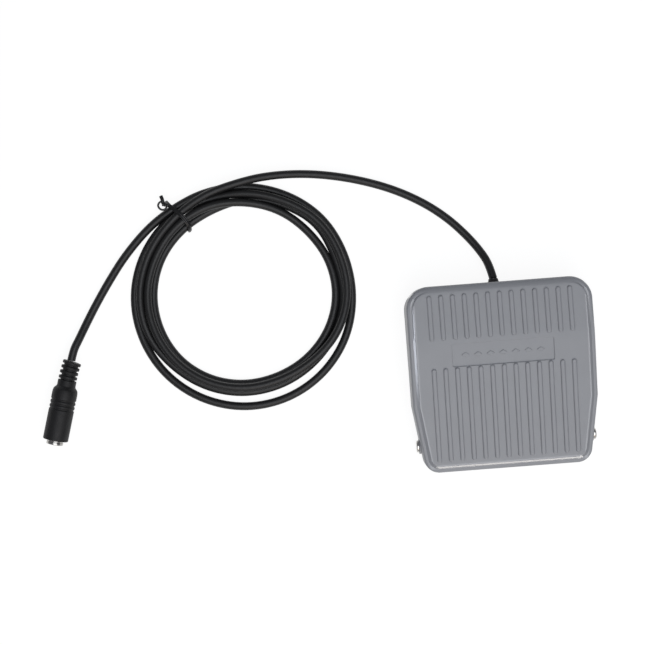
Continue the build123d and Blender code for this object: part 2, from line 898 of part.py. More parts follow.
# Two insulated wires from the cable to the switch
wire_z = switch_bottom - terminal_drop / 2
wire_touch = terminal_thickness / 2
common_route = [
    (wire_side, inner_cable_end_y, cable_height),
    (wire_side, inner_cable_end_y - wire_straight_run, cable_height),
    (3.6, 19.5, 7.0),
    (6.5, 12.5, wire_z),
    (7.5, 4.0, wire_z),
    (7.0, -4.0, wire_z),
    (4.5, common_y, wire_z),
    (wire_touch, common_y, wire_z),
]
open_route = [
    (-wire_side, inner_cable_end_y, cable_height),
    (-wire_side, inner_cable_end_y - wire_straight_run, cable_height),
    (0.8, 19.5, 7.0),
    (3.6, 13.0, wire_z),
    (5.0, 7.0, wire_z),
    (4.0, open_y, wire_z),
    (wire_touch, open_y, wire_z),
]
wire_common = tube(common_route, wire_radius)[0]
wire_common.label = "wire_common"
wire_normally_open = tube(open_route, wire_radius)[0]
wire_normally_open.label = "wire_normally_open"

# Cable from the grommet to the coil, and from the coil to the inline socket
lead_route = [
    (0.0, nozzle_end_y, cable_height),
    (-1.3, 59.5, 7.2),
    (-5.4, 67.5, 4.6),
    (-12.0, 76.5, 3.0),
    (-22.0, 87.0, 2.5),
    (-35.5, 97.0, 2.3),
    (-53.0, 105.8, 2.6),
    (-74.0, 112.4, 3.6),
    (-96.0, 116.2, 4.8),
    (-117.5, 116.4, 6.0),
    (-135.0, 113.4, 6.6),
]
socket_x, socket_y = socket_start
axis_x = cos(radians(socket_azimuth))
axis_y = sin(radians(socket_azimuth))
tail_route = [
    (-151.0, 110.6, 4.4),
    (-168.0, 104.8, 3.7),
    (-183.5, 94.6, 2.8),
    (-197.2, 79.6, 2.4),
    (-207.3, 65.9, 2.3),
    (-215.4, 53.6, 2.5),
    (-221.2, 43.6, 3.6),
    (-225.4, 35.6, 5.6),
    (socket_x - relief_run * axis_x, socket_y - relief_run * axis_y, barrel_radius),
    (socket_x, socket_y, barrel_radius),
]
cable_lead, lead_length, lead_radii = tube(lead_route, cable_radius)
cable_lead.label = "cable_lead"
cable_tail, tail_length, tail_radii = tube(tail_route, cable_radius)
cable_tail.label = "cable_tail"
for name, route_length, radii, solid in (
    ("lead", lead_length, lead_radii, cable_lead),
    ("tail", tail_length, tail_radii, cable_tail),
):
    section = pi * cable_radius**2
    print(name, "radii", [round(radius, 1) for radius in radii])
    share = solid.volume / route_length / section
    print(name, "length", round(route_length, 1), "volume share", round(share, 4))

# The coil's outer shape: a flat ring of four turns side by side and partly over each other
with BuildPart() as cable_coil:
    with BuildSketch():
        with Locations(coil_centre):
            Circle(coil_outer_radius)
            Circle(coil_inner_radius, mode=Mode.SUBTRACT)
    extrude(amount=coil_height)
    fillet(cable_coil.edges().filter_by(GeomType.CIRCLE), coil_edge_radius)
cable_coil.part.label = "cable_coil"

# Twist tie: one closed loop of coated wire round the bundle, with its twisted end
tie_x = cos(radians(tie_angle))
tie_y = sin(radians(tie_angle))
tie_plane = Plane(origin=(*coil_centre, 0), x_dir=(tie_x, tie_y, 0), z_dir=(tie_y, -tie_x, 0))
with BuildPart() as twist_tie:
    with BuildLine(tie_plane) as loop:
        FilletPolyline(
            (tie_inner_radius, tie_bottom),
            (tie_outer_radius, tie_bottom),
            (tie_outer_radius, tie_top),
            (tie_inner_radius, tie_top),
            close=True,
            radius=tie_corner_radius,
        )
    with BuildSketch(Plane(origin=loop.wire() @ 0, z_dir=loop.wire() % 0)):
        Circle(tie_wire_radius)
    sweep(path=loop.wire())
    tail_start = tie_plane.from_local_coords((tie_outer_radius, (tie_bottom + tie_top) / 2))
    tail_plane = Plane(origin=tail_start, z_dir=(tie_x, tie_y, tie_tail_rise))
    with BuildSketch(tail_plane):
        Circle(tie_tail_radius)
    extrude(amount=tie_tail_length)
twist_tie.part.label = "twist_tie"

# Inline socket: moulded body with flex relief rings and grip grooves, turned about its axis
socket_axis = Axis(origin=(socket_x, socket_y, barrel_radius), direction=(axis_x, axis_y, 0))
socket_plane = Plane(
    origin=(socket_x, socket_y, barrel_radius), x_dir=(axis_x, axis_y, 0), z_dir=(axis_y, -axis_x, 0)
)
collar_start = relief_ring_count * relief_ring_pitch
shoulder_start = collar_start + collar_length
barrel_start = shoulder_start + shoulder_length
nose_start = barrel_end + nose_proud - nose_length

with BuildPart() as connector_overmould:
    with BuildSketch(socket_plane):
        with BuildLine():
            Polyline(
                (0, 0),
                (0, relief_neck_radius),
                (shoulder_start, relief_neck_radius),
                (shoulder_start, relief_ring_radius),
            )
            Spline(
                (shoulder_start, relief_ring_radius),
                (barrel_start, barrel_radius),
                tangents=[(shoulder_lead, 1), (1, 0)],
            )
            Polyline(
                (barrel_start, barrel_radius),
                (barrel_end, barrel_radius),
                (barrel_end, 0),
                (0, 0),
            )
        make_face()
        for index in range(relief_ring_count):
            with Locations((index * relief_ring_pitch, 0)):
                Rectangle(relief_ring_width, relief_ring_radius, align=(Align.MIN, Align.MIN))
        with Locations((collar_start, 0)):
            Rectangle(collar_length, relief_ring_radius, align=(Align.MIN, Align.MIN))
        for index in range(grip_groove_count):
            with Locations((grip_groove_first + index * grip_groove_pitch, barrel_radius)):
                Rectangle(
                    grip_groove_width,
                    grip_groove_depth,
                    align=(Align.CENTER, Align.MAX),
                    mode=Mode.SUBTRACT,
                )
    revolve(axis=socket_axis)
    front_rim = connector_overmould.edges().filter_by(GeomType.CIRCLE).sort_by(socket_axis)[-1]
    fillet(front_rim, barrel_edge_radius)
    pocket_start = nose_start - insulator_length
    with BuildSketch(socket_plane):
        with Locations((pocket_start, 0)):
            Rectangle(barrel_end - pocket_start, nose_radius, align=(Align.MIN, Align.MIN))
    revolve(axis=socket_axis, mode=Mode.SUBTRACT)
connector_overmould.part.label = "connector_overmould"

# Plated nose sleeve, with the bore that takes the plug
with BuildPart() as socket_nose:
    with BuildSketch(socket_plane):
        with Locations((nose_start, jack_bore_radius)):
            Rectangle(nose_length, nose_radius - jack_bore_radius, align=(Align.MIN, Align.MIN))
    revolve(axis=socket_axis)
    nose_rims = socket_nose.edges().filter_by(GeomType.CIRCLE).group_by(socket_axis)[-1]
    chamfer(nose_rims, nose_chamfer)
socket_nose.part.label = "socket_nose"

# Insulator behind the nose, hollow for the plug's tip, with the spring contact that meets the tip
with BuildPart() as socket_insulator:
    with BuildSketch(socket_plane):
        with Locations((pocket_start, 0)):
            Rectangle(insulator_length, nose_radius, align=(Align.MIN, Align.MIN))
        with Locations((nose_start - insulator_hollow, 0)):
            Rectangle(
                insulator_hollow,
                jack_bore_radius + contact_room,
                align=(Align.MIN, Align.MIN),
                mode=Mode.SUBTRACT,
            )
    revolve(axis=socket_axis)
    contact_start = nose_start - insulator_hollow - contact_seat
    with BuildSketch(socket_plane.offset(-contact_width / 2)):
        with Locations((contact_start, jack_bore_radius)):
            Rectangle(contact_seat, contact_thickness, align=(Align.MIN, Align.MIN))
    extrude(amount=contact_width, mode=Mode.SUBTRACT)
socket_insulator.part.label = "socket_insulator"

with BuildPart() as tip_contact:
    with BuildSketch(socket_plane.offset(-contact_width / 2)):
        with Locations((contact_start, jack_bore_radius)):
            Rectangle(contact_seat + contact_length, contact_thickness, align=(Align.MIN, Align.MIN))
    extrude(amount=contact_width)
tip_contact.part.label = "tip_contact"

os.makedirs("parts", exist_ok=True)
for piece in (
    pedal_cover.part,
    base_tray.part,
    anti_slip_mat.part,
    hinge_pin.part,
    hinge_pin_cap.part,
    return_spring_left,
    return_spring_right,
    switch_case.part,
    switch_lever.part,
    switch_plunger.part,
    terminal_common,
    terminal_normally_open,
    terminal_normally_closed,
    switch_screws.part,
    cable_clamp.part,
    clamp_screws.part,
    cable_grommet.part,
    cable_inner_end.part,
    wire_common,
    wire_normally_open,
    cable_lead,
    cable_coil.part,
    cable_tail,
    twist_tie.part,
    connector_overmould.part,
    socket_nose.part,
    socket_insulator.part,
    tip_contact.part,
):
    export_step(piece, f"parts/{piece.label}.step")
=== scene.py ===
"""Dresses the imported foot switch: moulded cover, base, hinge pin, springs, tied cable and socket.

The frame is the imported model's: X to the right, Y to the rear and Z up, in metres. Routes and
sizes that are repeated from the part's source are in millimetres, and MM turns them to metres.
"""

from math import acos, atan2, cos, hypot, pi, radians, sin, sqrt, tan

import bmesh
import bpy
from mathutils import Matrix, Vector


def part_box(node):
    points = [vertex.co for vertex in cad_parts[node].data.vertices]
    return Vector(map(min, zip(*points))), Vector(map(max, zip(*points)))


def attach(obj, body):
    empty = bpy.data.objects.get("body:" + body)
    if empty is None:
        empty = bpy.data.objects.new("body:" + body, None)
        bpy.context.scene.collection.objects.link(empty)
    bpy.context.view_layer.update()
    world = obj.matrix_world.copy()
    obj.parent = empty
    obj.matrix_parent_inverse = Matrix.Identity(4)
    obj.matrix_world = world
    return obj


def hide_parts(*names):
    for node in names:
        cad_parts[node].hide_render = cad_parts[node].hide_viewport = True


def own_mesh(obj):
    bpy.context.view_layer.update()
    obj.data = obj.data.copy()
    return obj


bl_info = {
    "name": "Foot switch",
    "version": (1, 0, 0),
    "blender": (4, 5, 0),
    "location": "View3D > Sidebar > Foot switch",
    "description": "Builds a ribbed foot switch with its tied cable and inline socket",
    "category": "Add Mesh",
}

MM = 0.001
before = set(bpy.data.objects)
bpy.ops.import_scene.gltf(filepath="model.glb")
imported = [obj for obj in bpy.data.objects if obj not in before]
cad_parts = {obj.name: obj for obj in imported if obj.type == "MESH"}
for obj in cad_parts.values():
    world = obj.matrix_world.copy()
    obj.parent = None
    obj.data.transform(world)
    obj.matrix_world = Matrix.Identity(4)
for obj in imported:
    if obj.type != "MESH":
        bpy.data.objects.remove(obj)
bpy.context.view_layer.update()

# The cable's route from the grommet to the coil, and from the coil to the socket
lead_route = [
    (0.0, 51.9, 9.0),
    (-1.3, 59.5, 7.2),
    (-5.4, 67.5, 4.6),
    (-12.0, 76.5, 3.0),
    (-22.0, 87.0, 2.5),
    (-35.5, 97.0, 2.3),
    (-53.0, 105.8, 2.6),
    (-74.0, 112.4, 3.6),
    (-96.0, 116.2, 4.8),
    (-117.5, 116.4, 6.2),
    (-135.0, 113.4, 6.9),
]
tail_route = [
    (-151.0, 110.6, 4.1),
    (-167.4, 103.8, 4.4),
    (-182.9, 94.1, 2.8),
    (-197.2, 79.6, 2.4),
    (-207.3, 65.9, 2.3),
    (-215.4, 53.6, 2.5),
    (-221.2, 43.6, 3.6),
    (-225.4, 35.6, 5.6),
]
# The coil: radius and height of each turn's points, one every sixteenth of a turn, each turn from
# the picture's right. The first turn starts at its sixth point and the last ends at its fifth.
coil_centre = (-134.6, 52.6)
coil_first_angle = -4.35
coil_step = 22.5
coil_turns = [
    (5, [
        (58.6, 7.0), (56.8, 7.6), (56.9, 5.9), (57.4, 5.3), (57.2, 3.6), (54.8, 2.2),
        (53.9, 2.2), (53.2, 2.2), (52.8, 2.2), (53.0, 2.2), (54.1, 2.2),
    ]),
    (0, [
        (55.1, 2.2), (54.3, 2.2), (56.6, 2.2), (54.8, 2.2), (53.3, 2.2), (50.2, 2.6),
        (49.8, 3.3), (50.2, 2.4), (50.2, 2.2), (50.0, 2.2), (50.0, 2.2), (49.3, 2.2),
        (48.5, 2.2), (47.9, 2.2), (48.7, 2.2), (49.9, 2.2),
    ]),
    (0, [
        (50.8, 2.2), (50.6, 2.2), (49.9, 2.2), (50.8, 3.7), (51.2, 6.4), (52.9, 7.0),
        (53.0, 6.9), (52.7, 5.9), (53.1, 5.5), (52.6, 5.8), (52.0, 6.0), (51.3, 6.0),
        (50.5, 6.0), (50.0, 6.0), (51.6, 6.1), (55.0, 6.6),
    ]),
    (0, [
        (57.0, 6.0), (57.2, 6.0), (58.2, 6.0), (56.4, 6.5), (56.3, 6.1), (56.8, 2.7),
        (58.9, 3.4), (59.9, 2.3), (60.7, 2.2), (60.8, 2.2), (61.0, 2.2), (61.0, 2.2),
        (61.1, 2.2), (61.0, 2.2), (60.8, 2.2), (60.5, 2.2),
    ]),
    (0, [
        (59.7, 2.2), (59.6, 2.2), (60.7, 2.2), (60.3, 2.2), (60.3, 2.6),
    ]),
]

# The tie: rows of distance from the coil's centre, place along the cable and height
tie_angle = 125.0
tie_loop = [
    (46.6, 0.4, 0.85), (50.0, 0.2, 0.7), (57.0, 0.2, 0.7), (63.5, 0.4, 0.8), (66.3, 0.5, 2.4),
    (66.2, 0.5, 5.6), (63.6, 0.4, 8.2), (60.3, -0.5, 9.8), (56.4, -1.3, 10.6), (52.2, -1.8, 10.4),
    (48.7, -1.5, 9.2), (46.4, -0.6, 7.0), (45.6, 0.3, 4.3), (45.8, 0.4, 2.0),
]
tie_twist = [(63.2, 0.3, 8.4), (64.4, 1.2, 8.2), (65.8, 2.4, 7.8)]
tie_curl = [
    (64.2, 1.4, 7.6), (66.4, 0.9, 7.4), (67.9, 2.6, 7.3), (67.2, 5.0, 7.2), (64.8, 5.4, 7.1),
    (63.0, 4.0, 7.0), (63.1, 1.8, 7.0), (64.6, 0.9, 7.0),
]
tie_stub = [(65.6, 2.2, 8.0), (66.6, 1.6, 8.2), (68.2, 0.8, 8.3), (69.9, 0.4, 8.2)]

# The inline socket's line and sizes, repeated from the part's source
socket_start = Vector((-230.0, 24.8, 6.75))
socket_azimuth = radians(254.3)
socket_axis = Vector((cos(socket_azimuth), sin(socket_azimuth), 0.0))
socket_radius = 6.75
groove_floor = 6.35
relief_end = 11.4
nose_radius, nose_bore = 4.5, 1.8

# The pedal cover, repeated from the part's source: outline, tread, step and label panel
half_width, half_length = 49.0, 49.5
front_half_width, taper_y = 43.75, -13.8
rear_corner_radius = 12.0
tread_height, tread_slope = 28.0, 8.0
knee_y, knee_radius, knee_reach = 19.0, 60.0, 4.2
shoulder_drop = 1.1
panel_half_width, panel_half_length, panel_y = 26.8, 5.95, 12.4

# Camera, found from the tilt of the ribs and the pedal's outline
camera_place = (-93.3, 35.0, 690.0)
camera_turn = -4.35
focal_share = 1266 / 645
sensor_width = 36.0
camera_reach = 60.0


def srgb(code, alpha=1.0):
    """A hex colour as linear red, green, blue and alpha."""
    channels = [int(code[i : i + 2], 16) / 255 for i in (0, 2, 4)]
    linear = [c / 12.92 if c <= 0.04045 else ((c + 0.055) / 1.055) ** 2.4 for c in channels]
    return (*linear, alpha)


def add_node(tree, kind, inputs=None, **settings):
    """Adds one node. Settings are its own properties, inputs its sockets' values or links."""
    made = tree.nodes.new(kind)
    for name, value in settings.items():
        setattr(made, name, value)
    for name, value in (inputs or {}).items():
        socket = made.inputs[name]
        if isinstance(value, bpy.types.NodeSocket):
            tree.links.new(value, socket)
        else:
            socket.default_value = value
    return made


def new_material(name, colour, roughness, metallic=0.0, ior=None):
    """A material with its plain values set, and its tree, shader and object coordinates."""
    material = bpy.data.materials.new(name)
    material.use_nodes = True
    tree = material.node_tree
    shader = tree.nodes["Principled BSDF"]
    shader.inputs["Base Color"].default_value = colour
    shader.inputs["Roughness"].default_value = roughness
    shader.inputs["Metallic"].default_value = metallic
    if ior is not None:
        shader.inputs["IOR"].default_value = ior
    place = add_node(tree, "ShaderNodeTexCoord").outputs["Object"]
    return material, tree, shader, place


def grain(tree, place, size_mm, detail=2.0, stretch=(1.0, 1.0, 1.0)):
    """Noise whose blobs are about the given size, pulled out along an axis by stretch."""
    shrunk = {0: place, 1: [1 / part for part in stretch]}
    scaled = add_node(tree, "ShaderNodeVectorMath", shrunk, operation="MULTIPLY").outputs[0]
    scale = 1 / (size_mm * MM)
    blobs = {"Vector": scaled, "Scale": scale, "Detail": detail, "Roughness": 0.55}
    return add_node(tree, "ShaderNodeTexNoise", blobs).outputs["Fac"]


def spread(tree, value, low, high):
    """Maps a noise from its usual middle range to low and high."""
    ends = {"Value": value, "From Min": 0.3, "From Max": 0.7, "To Min": low, "To Max": high}
    return add_node(tree, "ShaderNodeMapRange", ends).outputs["Result"]


def vary_colour(tree, shader, factor, first, second):
    """Lets the base colour drift between two colours."""
    mixed = add_node(tree, "ShaderNodeMix", {"Factor": factor}, data_type="RGBA")
    mixed.inputs["A"].default_value = first
    mixed.inputs["B"].default_value = second
    tree.links.new(mixed.outputs["Result"], shader.inputs["Base Color"])


def set_bump(tree, shader, height, depth_mm):
    """Raises the surface's shading by a height pattern of the given depth."""
    raised = {"Height": height, "Distance": depth_mm * MM, "Strength": 1.0}
    bump = add_node(tree, "ShaderNodeBump", raised)
    tree.links.new(bump.outputs["Normal"], shader.inputs["Normal"])


def set_gloss(material, level):
    """Dulls or raises the mirror part of a material's shine."""
    material.node_tree.nodes["Principled BSDF"].inputs["Specular IOR Level"].default_value = level


def moulded_abs(name, first, second, roughness, grain_mm, grain_depth_mm):
    """ABS from a spark-eroded mould: an even satin grain, with flow marks too faint to draw."""
    material, tree, shader, place = new_material(name, first, roughness, ior=1.53)
    vary_colour(tree, shader, spread(tree, grain(tree, place, 14.0), 0.0, 1.0), first, second)
    fine = grain(tree, place, grain_mm, detail=3.0)
    uneven = spread(tree, grain(tree, place, 9.0), roughness - 0.015, roughness + 0.02)
    tree.links.new(uneven, shader.inputs["Roughness"])
    set_bump(tree, shader, fine, grain_depth_mm)
    return material


def black_rubber(name, first, second, roughness, grain_mm, grain_depth_mm):
    """Soft PVC or rubber: carbon black, matt to satin, with dust-pale drifts in its colour."""
    material, tree, shader, place = new_material(name, first, roughness, ior=1.53)
    vary_colour(tree, shader, spread(tree, grain(tree, place, 9.0), 0.0, 1.0), first, second)
    uneven = spread(tree, grain(tree, place, 2.5), roughness - 0.03, roughness + 0.04)
    tree.links.new(uneven, shader.inputs["Roughness"])
    set_bump(tree, shader, grain(tree, place, grain_mm, detail=3.0), grain_depth_mm)
    return material


def plated_metal(name, first, second, roughness, line_mm, stretch):
    """Plated or rolled metal: bright, with fine lines from turning or rolling in its gloss."""
    material, tree, shader, place = new_material(name, first, roughness, metallic=1.0)
    vary_colour(tree, shader, spread(tree, grain(tree, place, 1.6), 0.0, 1.0), first, second)
    lines = grain(tree, place, line_mm, detail=2.0, stretch=stretch)
    uneven = spread(tree, lines, roughness * 0.8, roughness * 1.3)
    tree.links.new(uneven, shader.inputs["Roughness"])
    set_bump(tree, shader, lines, 0.004)
    return material


def moulded_gloss(name, first, second, roughness):
    """Small glossy moulding or wire cover: clean colour, faintly uneven gloss."""
    material, tree, shader, place = new_material(name, first, roughness, ior=1.5)
    vary_colour(tree, shader, spread(tree, grain(tree, place, 3.0), 0.0, 1.0), first, second)
    uneven = spread(tree, grain(tree, place, 1.2), roughness - 0.04, roughness + 0.08)
    tree.links.new(uneven, shader.inputs["Roughness"])
    set_bump(tree, shader, grain(tree, place, 0.5), 0.006)
    return material


class FootSwitchSizes(bpy.types.PropertyGroup):
    """Sizes that a user would change."""

    cable_diameter: bpy.props.FloatProperty(
        name="Cable diameter", description="Across the round jacket", default=4.4 * MM,
        min=MM, unit="LENGTH", precision=4,
    )
    tie_width: bpy.props.FloatProperty(
        name="Tie width", description="Across the flat coated tie", default=2.2 * MM,
        min=0.5 * MM, unit="LENGTH", precision=4,
    )
    spring_turns: bpy.props.FloatProperty(
        name="Spring turns", description="Turns of each return spring", default=6.0, min=2.0,
    )
    relief_rings: bpy.props.IntProperty(
        name="Relief rings", description="Flex rings behind the socket's collar", default=4, min=1,
    )


class FootSwitchColours(bpy.types.PropertyGroup):
    """Colours that a user would change."""

    cover: bpy.props.FloatVectorProperty(
        name="Cover", description="Moulded cover's grey", subtype="COLOR", size=4, min=0, max=1,
        default=srgb("94969b"),
    )
    base: bpy.props.FloatVectorProperty(
        name="Base", description="Base tray's darker grey", subtype="COLOR", size=4, min=0, max=1,
        default=srgb("74767b"),
    )
    cable: bpy.props.FloatVectorProperty(
        name="Cable", description="Cable jacket's black", subtype="COLOR", size=4, min=0, max=1,
        default=srgb("19191a"),
    )


def sizes():
    """The sizes that the panel shows."""
    return bpy.context.scene.foot_switch_sizes


def colours():
    """The colours that the panel shows."""
    return bpy.context.scene.foot_switch_colours


def shade(colour, share):
    """A colour made darker or lighter by a share of its light."""
    return (*[min(1.0, c * share) for c in colour[:3]], 1.0)


def link_piece(name, mesh, material, body, replaced=()):
    """Puts a finished mesh in the scene as a piece that rides on a body."""
    piece = bpy.data.objects.new(name, mesh)
    bpy.context.scene.collection.objects.link(piece)
    if material is not None:
        mesh.materials.clear()
        mesh.materials.append(material)
    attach(piece, body)
    if replaced:
        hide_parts(*replaced)
    return piece


def smooth_faces(mesh, sharp_angle):
    """Smooth shading, but with edges sharper than the angle kept crisp."""
    shell = bmesh.new()
    shell.from_mesh(mesh)
    for face in shell.faces:
        face.smooth = True
    for edge in shell.edges:
        edge.smooth = len(edge.link_faces) == 2 and edge.calc_face_angle(pi) < radians(sharp_angle)
    shell.to_mesh(mesh)
    shell.free()


def moulded_copy(node, name, material, body, sharp_angle=28.0, worked=None):
    """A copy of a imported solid, its loose triangles joined so that its curves shade smoothly."""
    joined = bmesh.new()
    joined.from_mesh(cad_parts[node].data)
    bmesh.ops.remove_doubles(joined, verts=joined.verts, dist=1e-6)
    if worked is not None:
        worked(joined)
    mesh = bpy.data.meshes.new(name)
    joined.to_mesh(mesh)
    joined.free()
    smooth_faces(mesh, sharp_angle)
    piece = link_piece(name, mesh, material, body, [node])
    flatten = piece.modifiers.new("even_normals", "WEIGHTED_NORMAL")
    flatten.mode = "FACE_AREA"
    flatten.weight = 100
    flatten.keep_sharp = True
    return piece


def dress_node(node, material):
    """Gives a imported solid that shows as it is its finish."""
    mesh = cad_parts[node].data
    mesh.materials.clear()
    mesh.materials.append(material)


def route_curve(name, points, radius, material=None, bevel_steps=5):
    """A round cord along a smooth route whose points are in millimetres."""
    curve = bpy.data.curves.new(name, "CURVE")
    curve.dimensions = "3D"
    spline = curve.splines.new("NURBS")
    spline.points.add(len(points) - 1)
    for control, place in zip(spline.points, points):
        control.co = (*[part * MM for part in place], 1.0)
    spline.order_u = 3
    spline.use_endpoint_u = True
    spline.resolution_u = 8
    curve.bevel_depth = radius
    curve.bevel_resolution = bevel_steps
    curve.use_fill_caps = True
    if material is not None:
        curve.materials.append(material)
    return curve


def route_line(points):
    """The points along the smooth route through control points given in millimetres."""
    curve = route_curve("route", points, 0.0)
    holder = bpy.data.objects.new("route", curve)
    mesh = bpy.data.meshes.new_from_object(holder)
    line = [vertex.co.copy() for vertex in mesh.vertices]
    bpy.data.objects.remove(holder)
    bpy.data.curves.remove(curve)
    bpy.data.meshes.remove(mesh)
    return line


def round_line(points):
    """The closed line inside a ring of control points, a smooth bend at each."""
    line = []
    for index, corner in enumerate(points):
        start = (points[index - 1] + corner) / 2
        end = (corner + points[(index + 1) % len(points)]) / 2
        for step in range(6):
            share = step / 6
            place = start * (1 - share) ** 2 + corner * 2 * share * (1 - share) + end * share**2
            line.append(place * MM)
    return line


def ribbon(name, line, sides, width, closed):
    """A flat coated tie along a line, thicker over its wire. Its width lies along sides."""
    half = width / 2
    section = [(-half, 0.0), (-half * 0.9, 0.28), (-half * 0.45, 0.34), (-half * 0.2, 0.52)]
    section += [(0.0, 0.56)] + [(-across, up) for across, up in reversed(section)]
    section += [(across, -up) for across, up in reversed(section[1:-1])]
    strip = bmesh.new()
    rings = []
    for index, place in enumerate(line):
        if closed:
            ahead, behind = line[(index + 1) % len(line)], line[index - 1]
        else:
            ahead, behind = line[min(index + 1, len(line) - 1)], line[max(index - 1, 0)]
        tangent = (ahead - behind).normalized()
        raised = sides[index].cross(tangent).normalized()
        across = tangent.cross(raised)
        rings.append([strip.verts.new(place + (across * a + raised * u) * MM) for a, u in section])
    pairs = list(zip(rings, rings[1:]))
    if closed:
        pairs.append((rings[-1], rings[0]))
    for first, second in pairs:
        for index in range(len(section)):
            after = (index + 1) % len(section)
            strip.faces.new((first[index], first[after], second[after], second[index]))
    if not closed:
        strip.faces.new(rings[0])
        strip.faces.new(rings[-1])
    bmesh.ops.recalc_face_normals(strip, faces=strip.faces)
    mesh = bpy.data.meshes.new(name)
    strip.to_mesh(mesh)
    strip.free()
    smooth_faces(mesh, 50)
    return mesh


def turned_mesh(name, profile, start, axis, steps=96, closed=True):
    """A body of revolution from (distance along the axis, radius) pairs in millimetres."""
    side = axis.cross(Vector((0, 0, 1))).normalized()
    lift = side.cross(axis).normalized()
    body = bmesh.new()
    rings = []
    for along, radius in profile:
        centre = start + axis * along
        if radius == 0:
            rings.append([body.verts.new(centre * MM)])
            continue
        ring = []
        for index in range(steps):
            angle = 2 * pi * index / steps
            out = side * cos(angle) + lift * sin(angle)
            ring.append(body.verts.new((centre + out * radius) * MM))
        rings.append(ring)
    pairs = list(zip(rings, rings[1:]))
    if closed:
        pairs.append((rings[-1], rings[0]))
    for first, second in pairs:
        if len(first) == 1 and len(second) == 1:
            continue
        for index in range(steps):
            after = (index + 1) % steps
            if len(first) == 1:
                body.faces.new((first[0], second[after], second[index]))
            elif len(second) == 1:
                body.faces.new((first[index], first[after], second[0]))
            else:
                body.faces.new((first[index], first[after], second[after], second[index]))
    bmesh.ops.recalc_face_normals(body, faces=body.faces)
    mesh = bpy.data.meshes.new(name)
    body.to_mesh(mesh)
    body.free()
    return mesh


def round_corners(corners, steps=5):
    """A profile whose corners, given as (along, radius, rounding), are rounded off."""
    profile = []
    for index, (along, radius, rounding) in enumerate(corners):
        here = Vector((along, radius))
        if rounding == 0 or index in (0, len(corners) - 1):
            profile.append((along, radius))
            continue
        before = Vector(corners[index - 1][:2])
        after = Vector(corners[index + 1][:2])
        start = here + (before - here).normalized() * rounding
        end = here + (after - here).normalized() * rounding
        for step in range(steps + 1):
            share = step / steps
            point = start * (1 - share) ** 2 + here * 2 * share * (1 - share) + end * share**2
            profile.append((point.x, point.y))
    return profile


def new_tree(name, inputs):
    """A geometry tree with inputs given as (name, socket type, default), and their sockets."""
    tree = bpy.data.node_groups.new(name, "GeometryNodeTree")
    tree.is_modifier = True
    for label, kind, default in inputs:
        socket = tree.interface.new_socket(label, in_out="INPUT", socket_type=kind)
        if default is not None:
            socket.default_value = default
    tree.interface.new_socket("Geometry", in_out="OUTPUT", socket_type="NodeSocketGeometry")
    return tree, tree.nodes.new("NodeGroupInput").outputs


def run_tree(name, tree, source, values):
    """Runs a geometry tree on an object's data and gives the result as a plain mesh."""
    holder = bpy.data.objects.new(name + "_source", source)
    bpy.context.scene.collection.objects.link(holder)
    modifier = holder.modifiers.new("build", "NODES")
    modifier.node_group = tree
    for item in tree.interface.items_tree:
        if item.in_out == "INPUT" and item.name in values:
            modifier[item.identifier] = values[item.name]
    bpy.context.view_layer.update()
    seen = holder.evaluated_get(bpy.context.evaluated_depsgraph_get())
    mesh = bpy.data.meshes.new_from_object(seen)
    mesh.name = name
    bpy.data.objects.remove(holder)
    return mesh


def helix_tree():
    """Winds a round wire about a path: a spring about a straight one, or twisted strands."""
    tree, given = new_tree(
        "wound_wire",
        [
            ("Geometry", "NodeSocketGeometry", None),
            ("Turns", "NodeSocketFloat", 6.0),
            ("Winding Radius", "NodeSocketFloat", 4.05 * MM),
            ("Wire Radius", "NodeSocketFloat", 0.45 * MM),
            ("Start Angle", "NodeSocketFloat", 0.0),
            ("Steps", "NodeSocketInt", 240),
            ("Material", "NodeSocketMaterial", None),
        ],
    )
    steps = {"Curve": given["Geometry"], "Count": given["Steps"]}
    path = add_node(tree, "GeometryNodeResampleCurve", steps)
    factor = add_node(tree, "GeometryNodeSplineParameter").outputs["Factor"]
    turned = {0: given["Turns"], 1: 2 * pi}
    full_turns = add_node(tree, "ShaderNodeMath", turned, operation="MULTIPLY").outputs[0]
    started = {0: factor, 1: full_turns, 2: given["Start Angle"]}
    angle = add_node(tree, "ShaderNodeMath", started, operation="MULTIPLY_ADD").outputs[0]
    normal = add_node(tree, "GeometryNodeInputNormal").outputs["Normal"]
    tangent = add_node(tree, "GeometryNodeInputTangent").outputs["Tangent"]
    square = {0: tangent, 1: normal}
    across = add_node(tree, "ShaderNodeVectorMath", square, operation="CROSS_PRODUCT").outputs[0]
    parts = []
    for direction, wave in ((normal, "COSINE"), (across, "SINE")):
        share = add_node(tree, "ShaderNodeMath", {0: angle}, operation=wave).outputs[0]
        wide = {0: share, 1: given["Winding Radius"]}
        reach = add_node(tree, "ShaderNodeMath", wide, operation="MULTIPLY").outputs[0]
        part = {0: direction, "Scale": reach}
        parts.append(add_node(tree, "ShaderNodeVectorMath", part, operation="SCALE").outputs[0])
    both = {0: parts[0], 1: parts[1]}
    away = add_node(tree, "ShaderNodeVectorMath", both, operation="ADD").outputs[0]
    moved = {"Geometry": path.outputs["Curve"], "Offset": away}
    wound = add_node(tree, "GeometryNodeSetPosition", moved)
    round_wire = {"Resolution": 12, "Radius": given["Wire Radius"]}
    section = add_node(tree, "GeometryNodeCurvePrimitiveCircle", round_wire, mode="RADIUS")
    swept = {"Curve": wound.outputs[0], "Profile Curve": section.outputs[0], "Fill Caps": True}
    tube = add_node(tree, "GeometryNodeCurveToMesh", swept)
    finish_tree(tree, tube.outputs["Mesh"], given["Material"])
    return tree


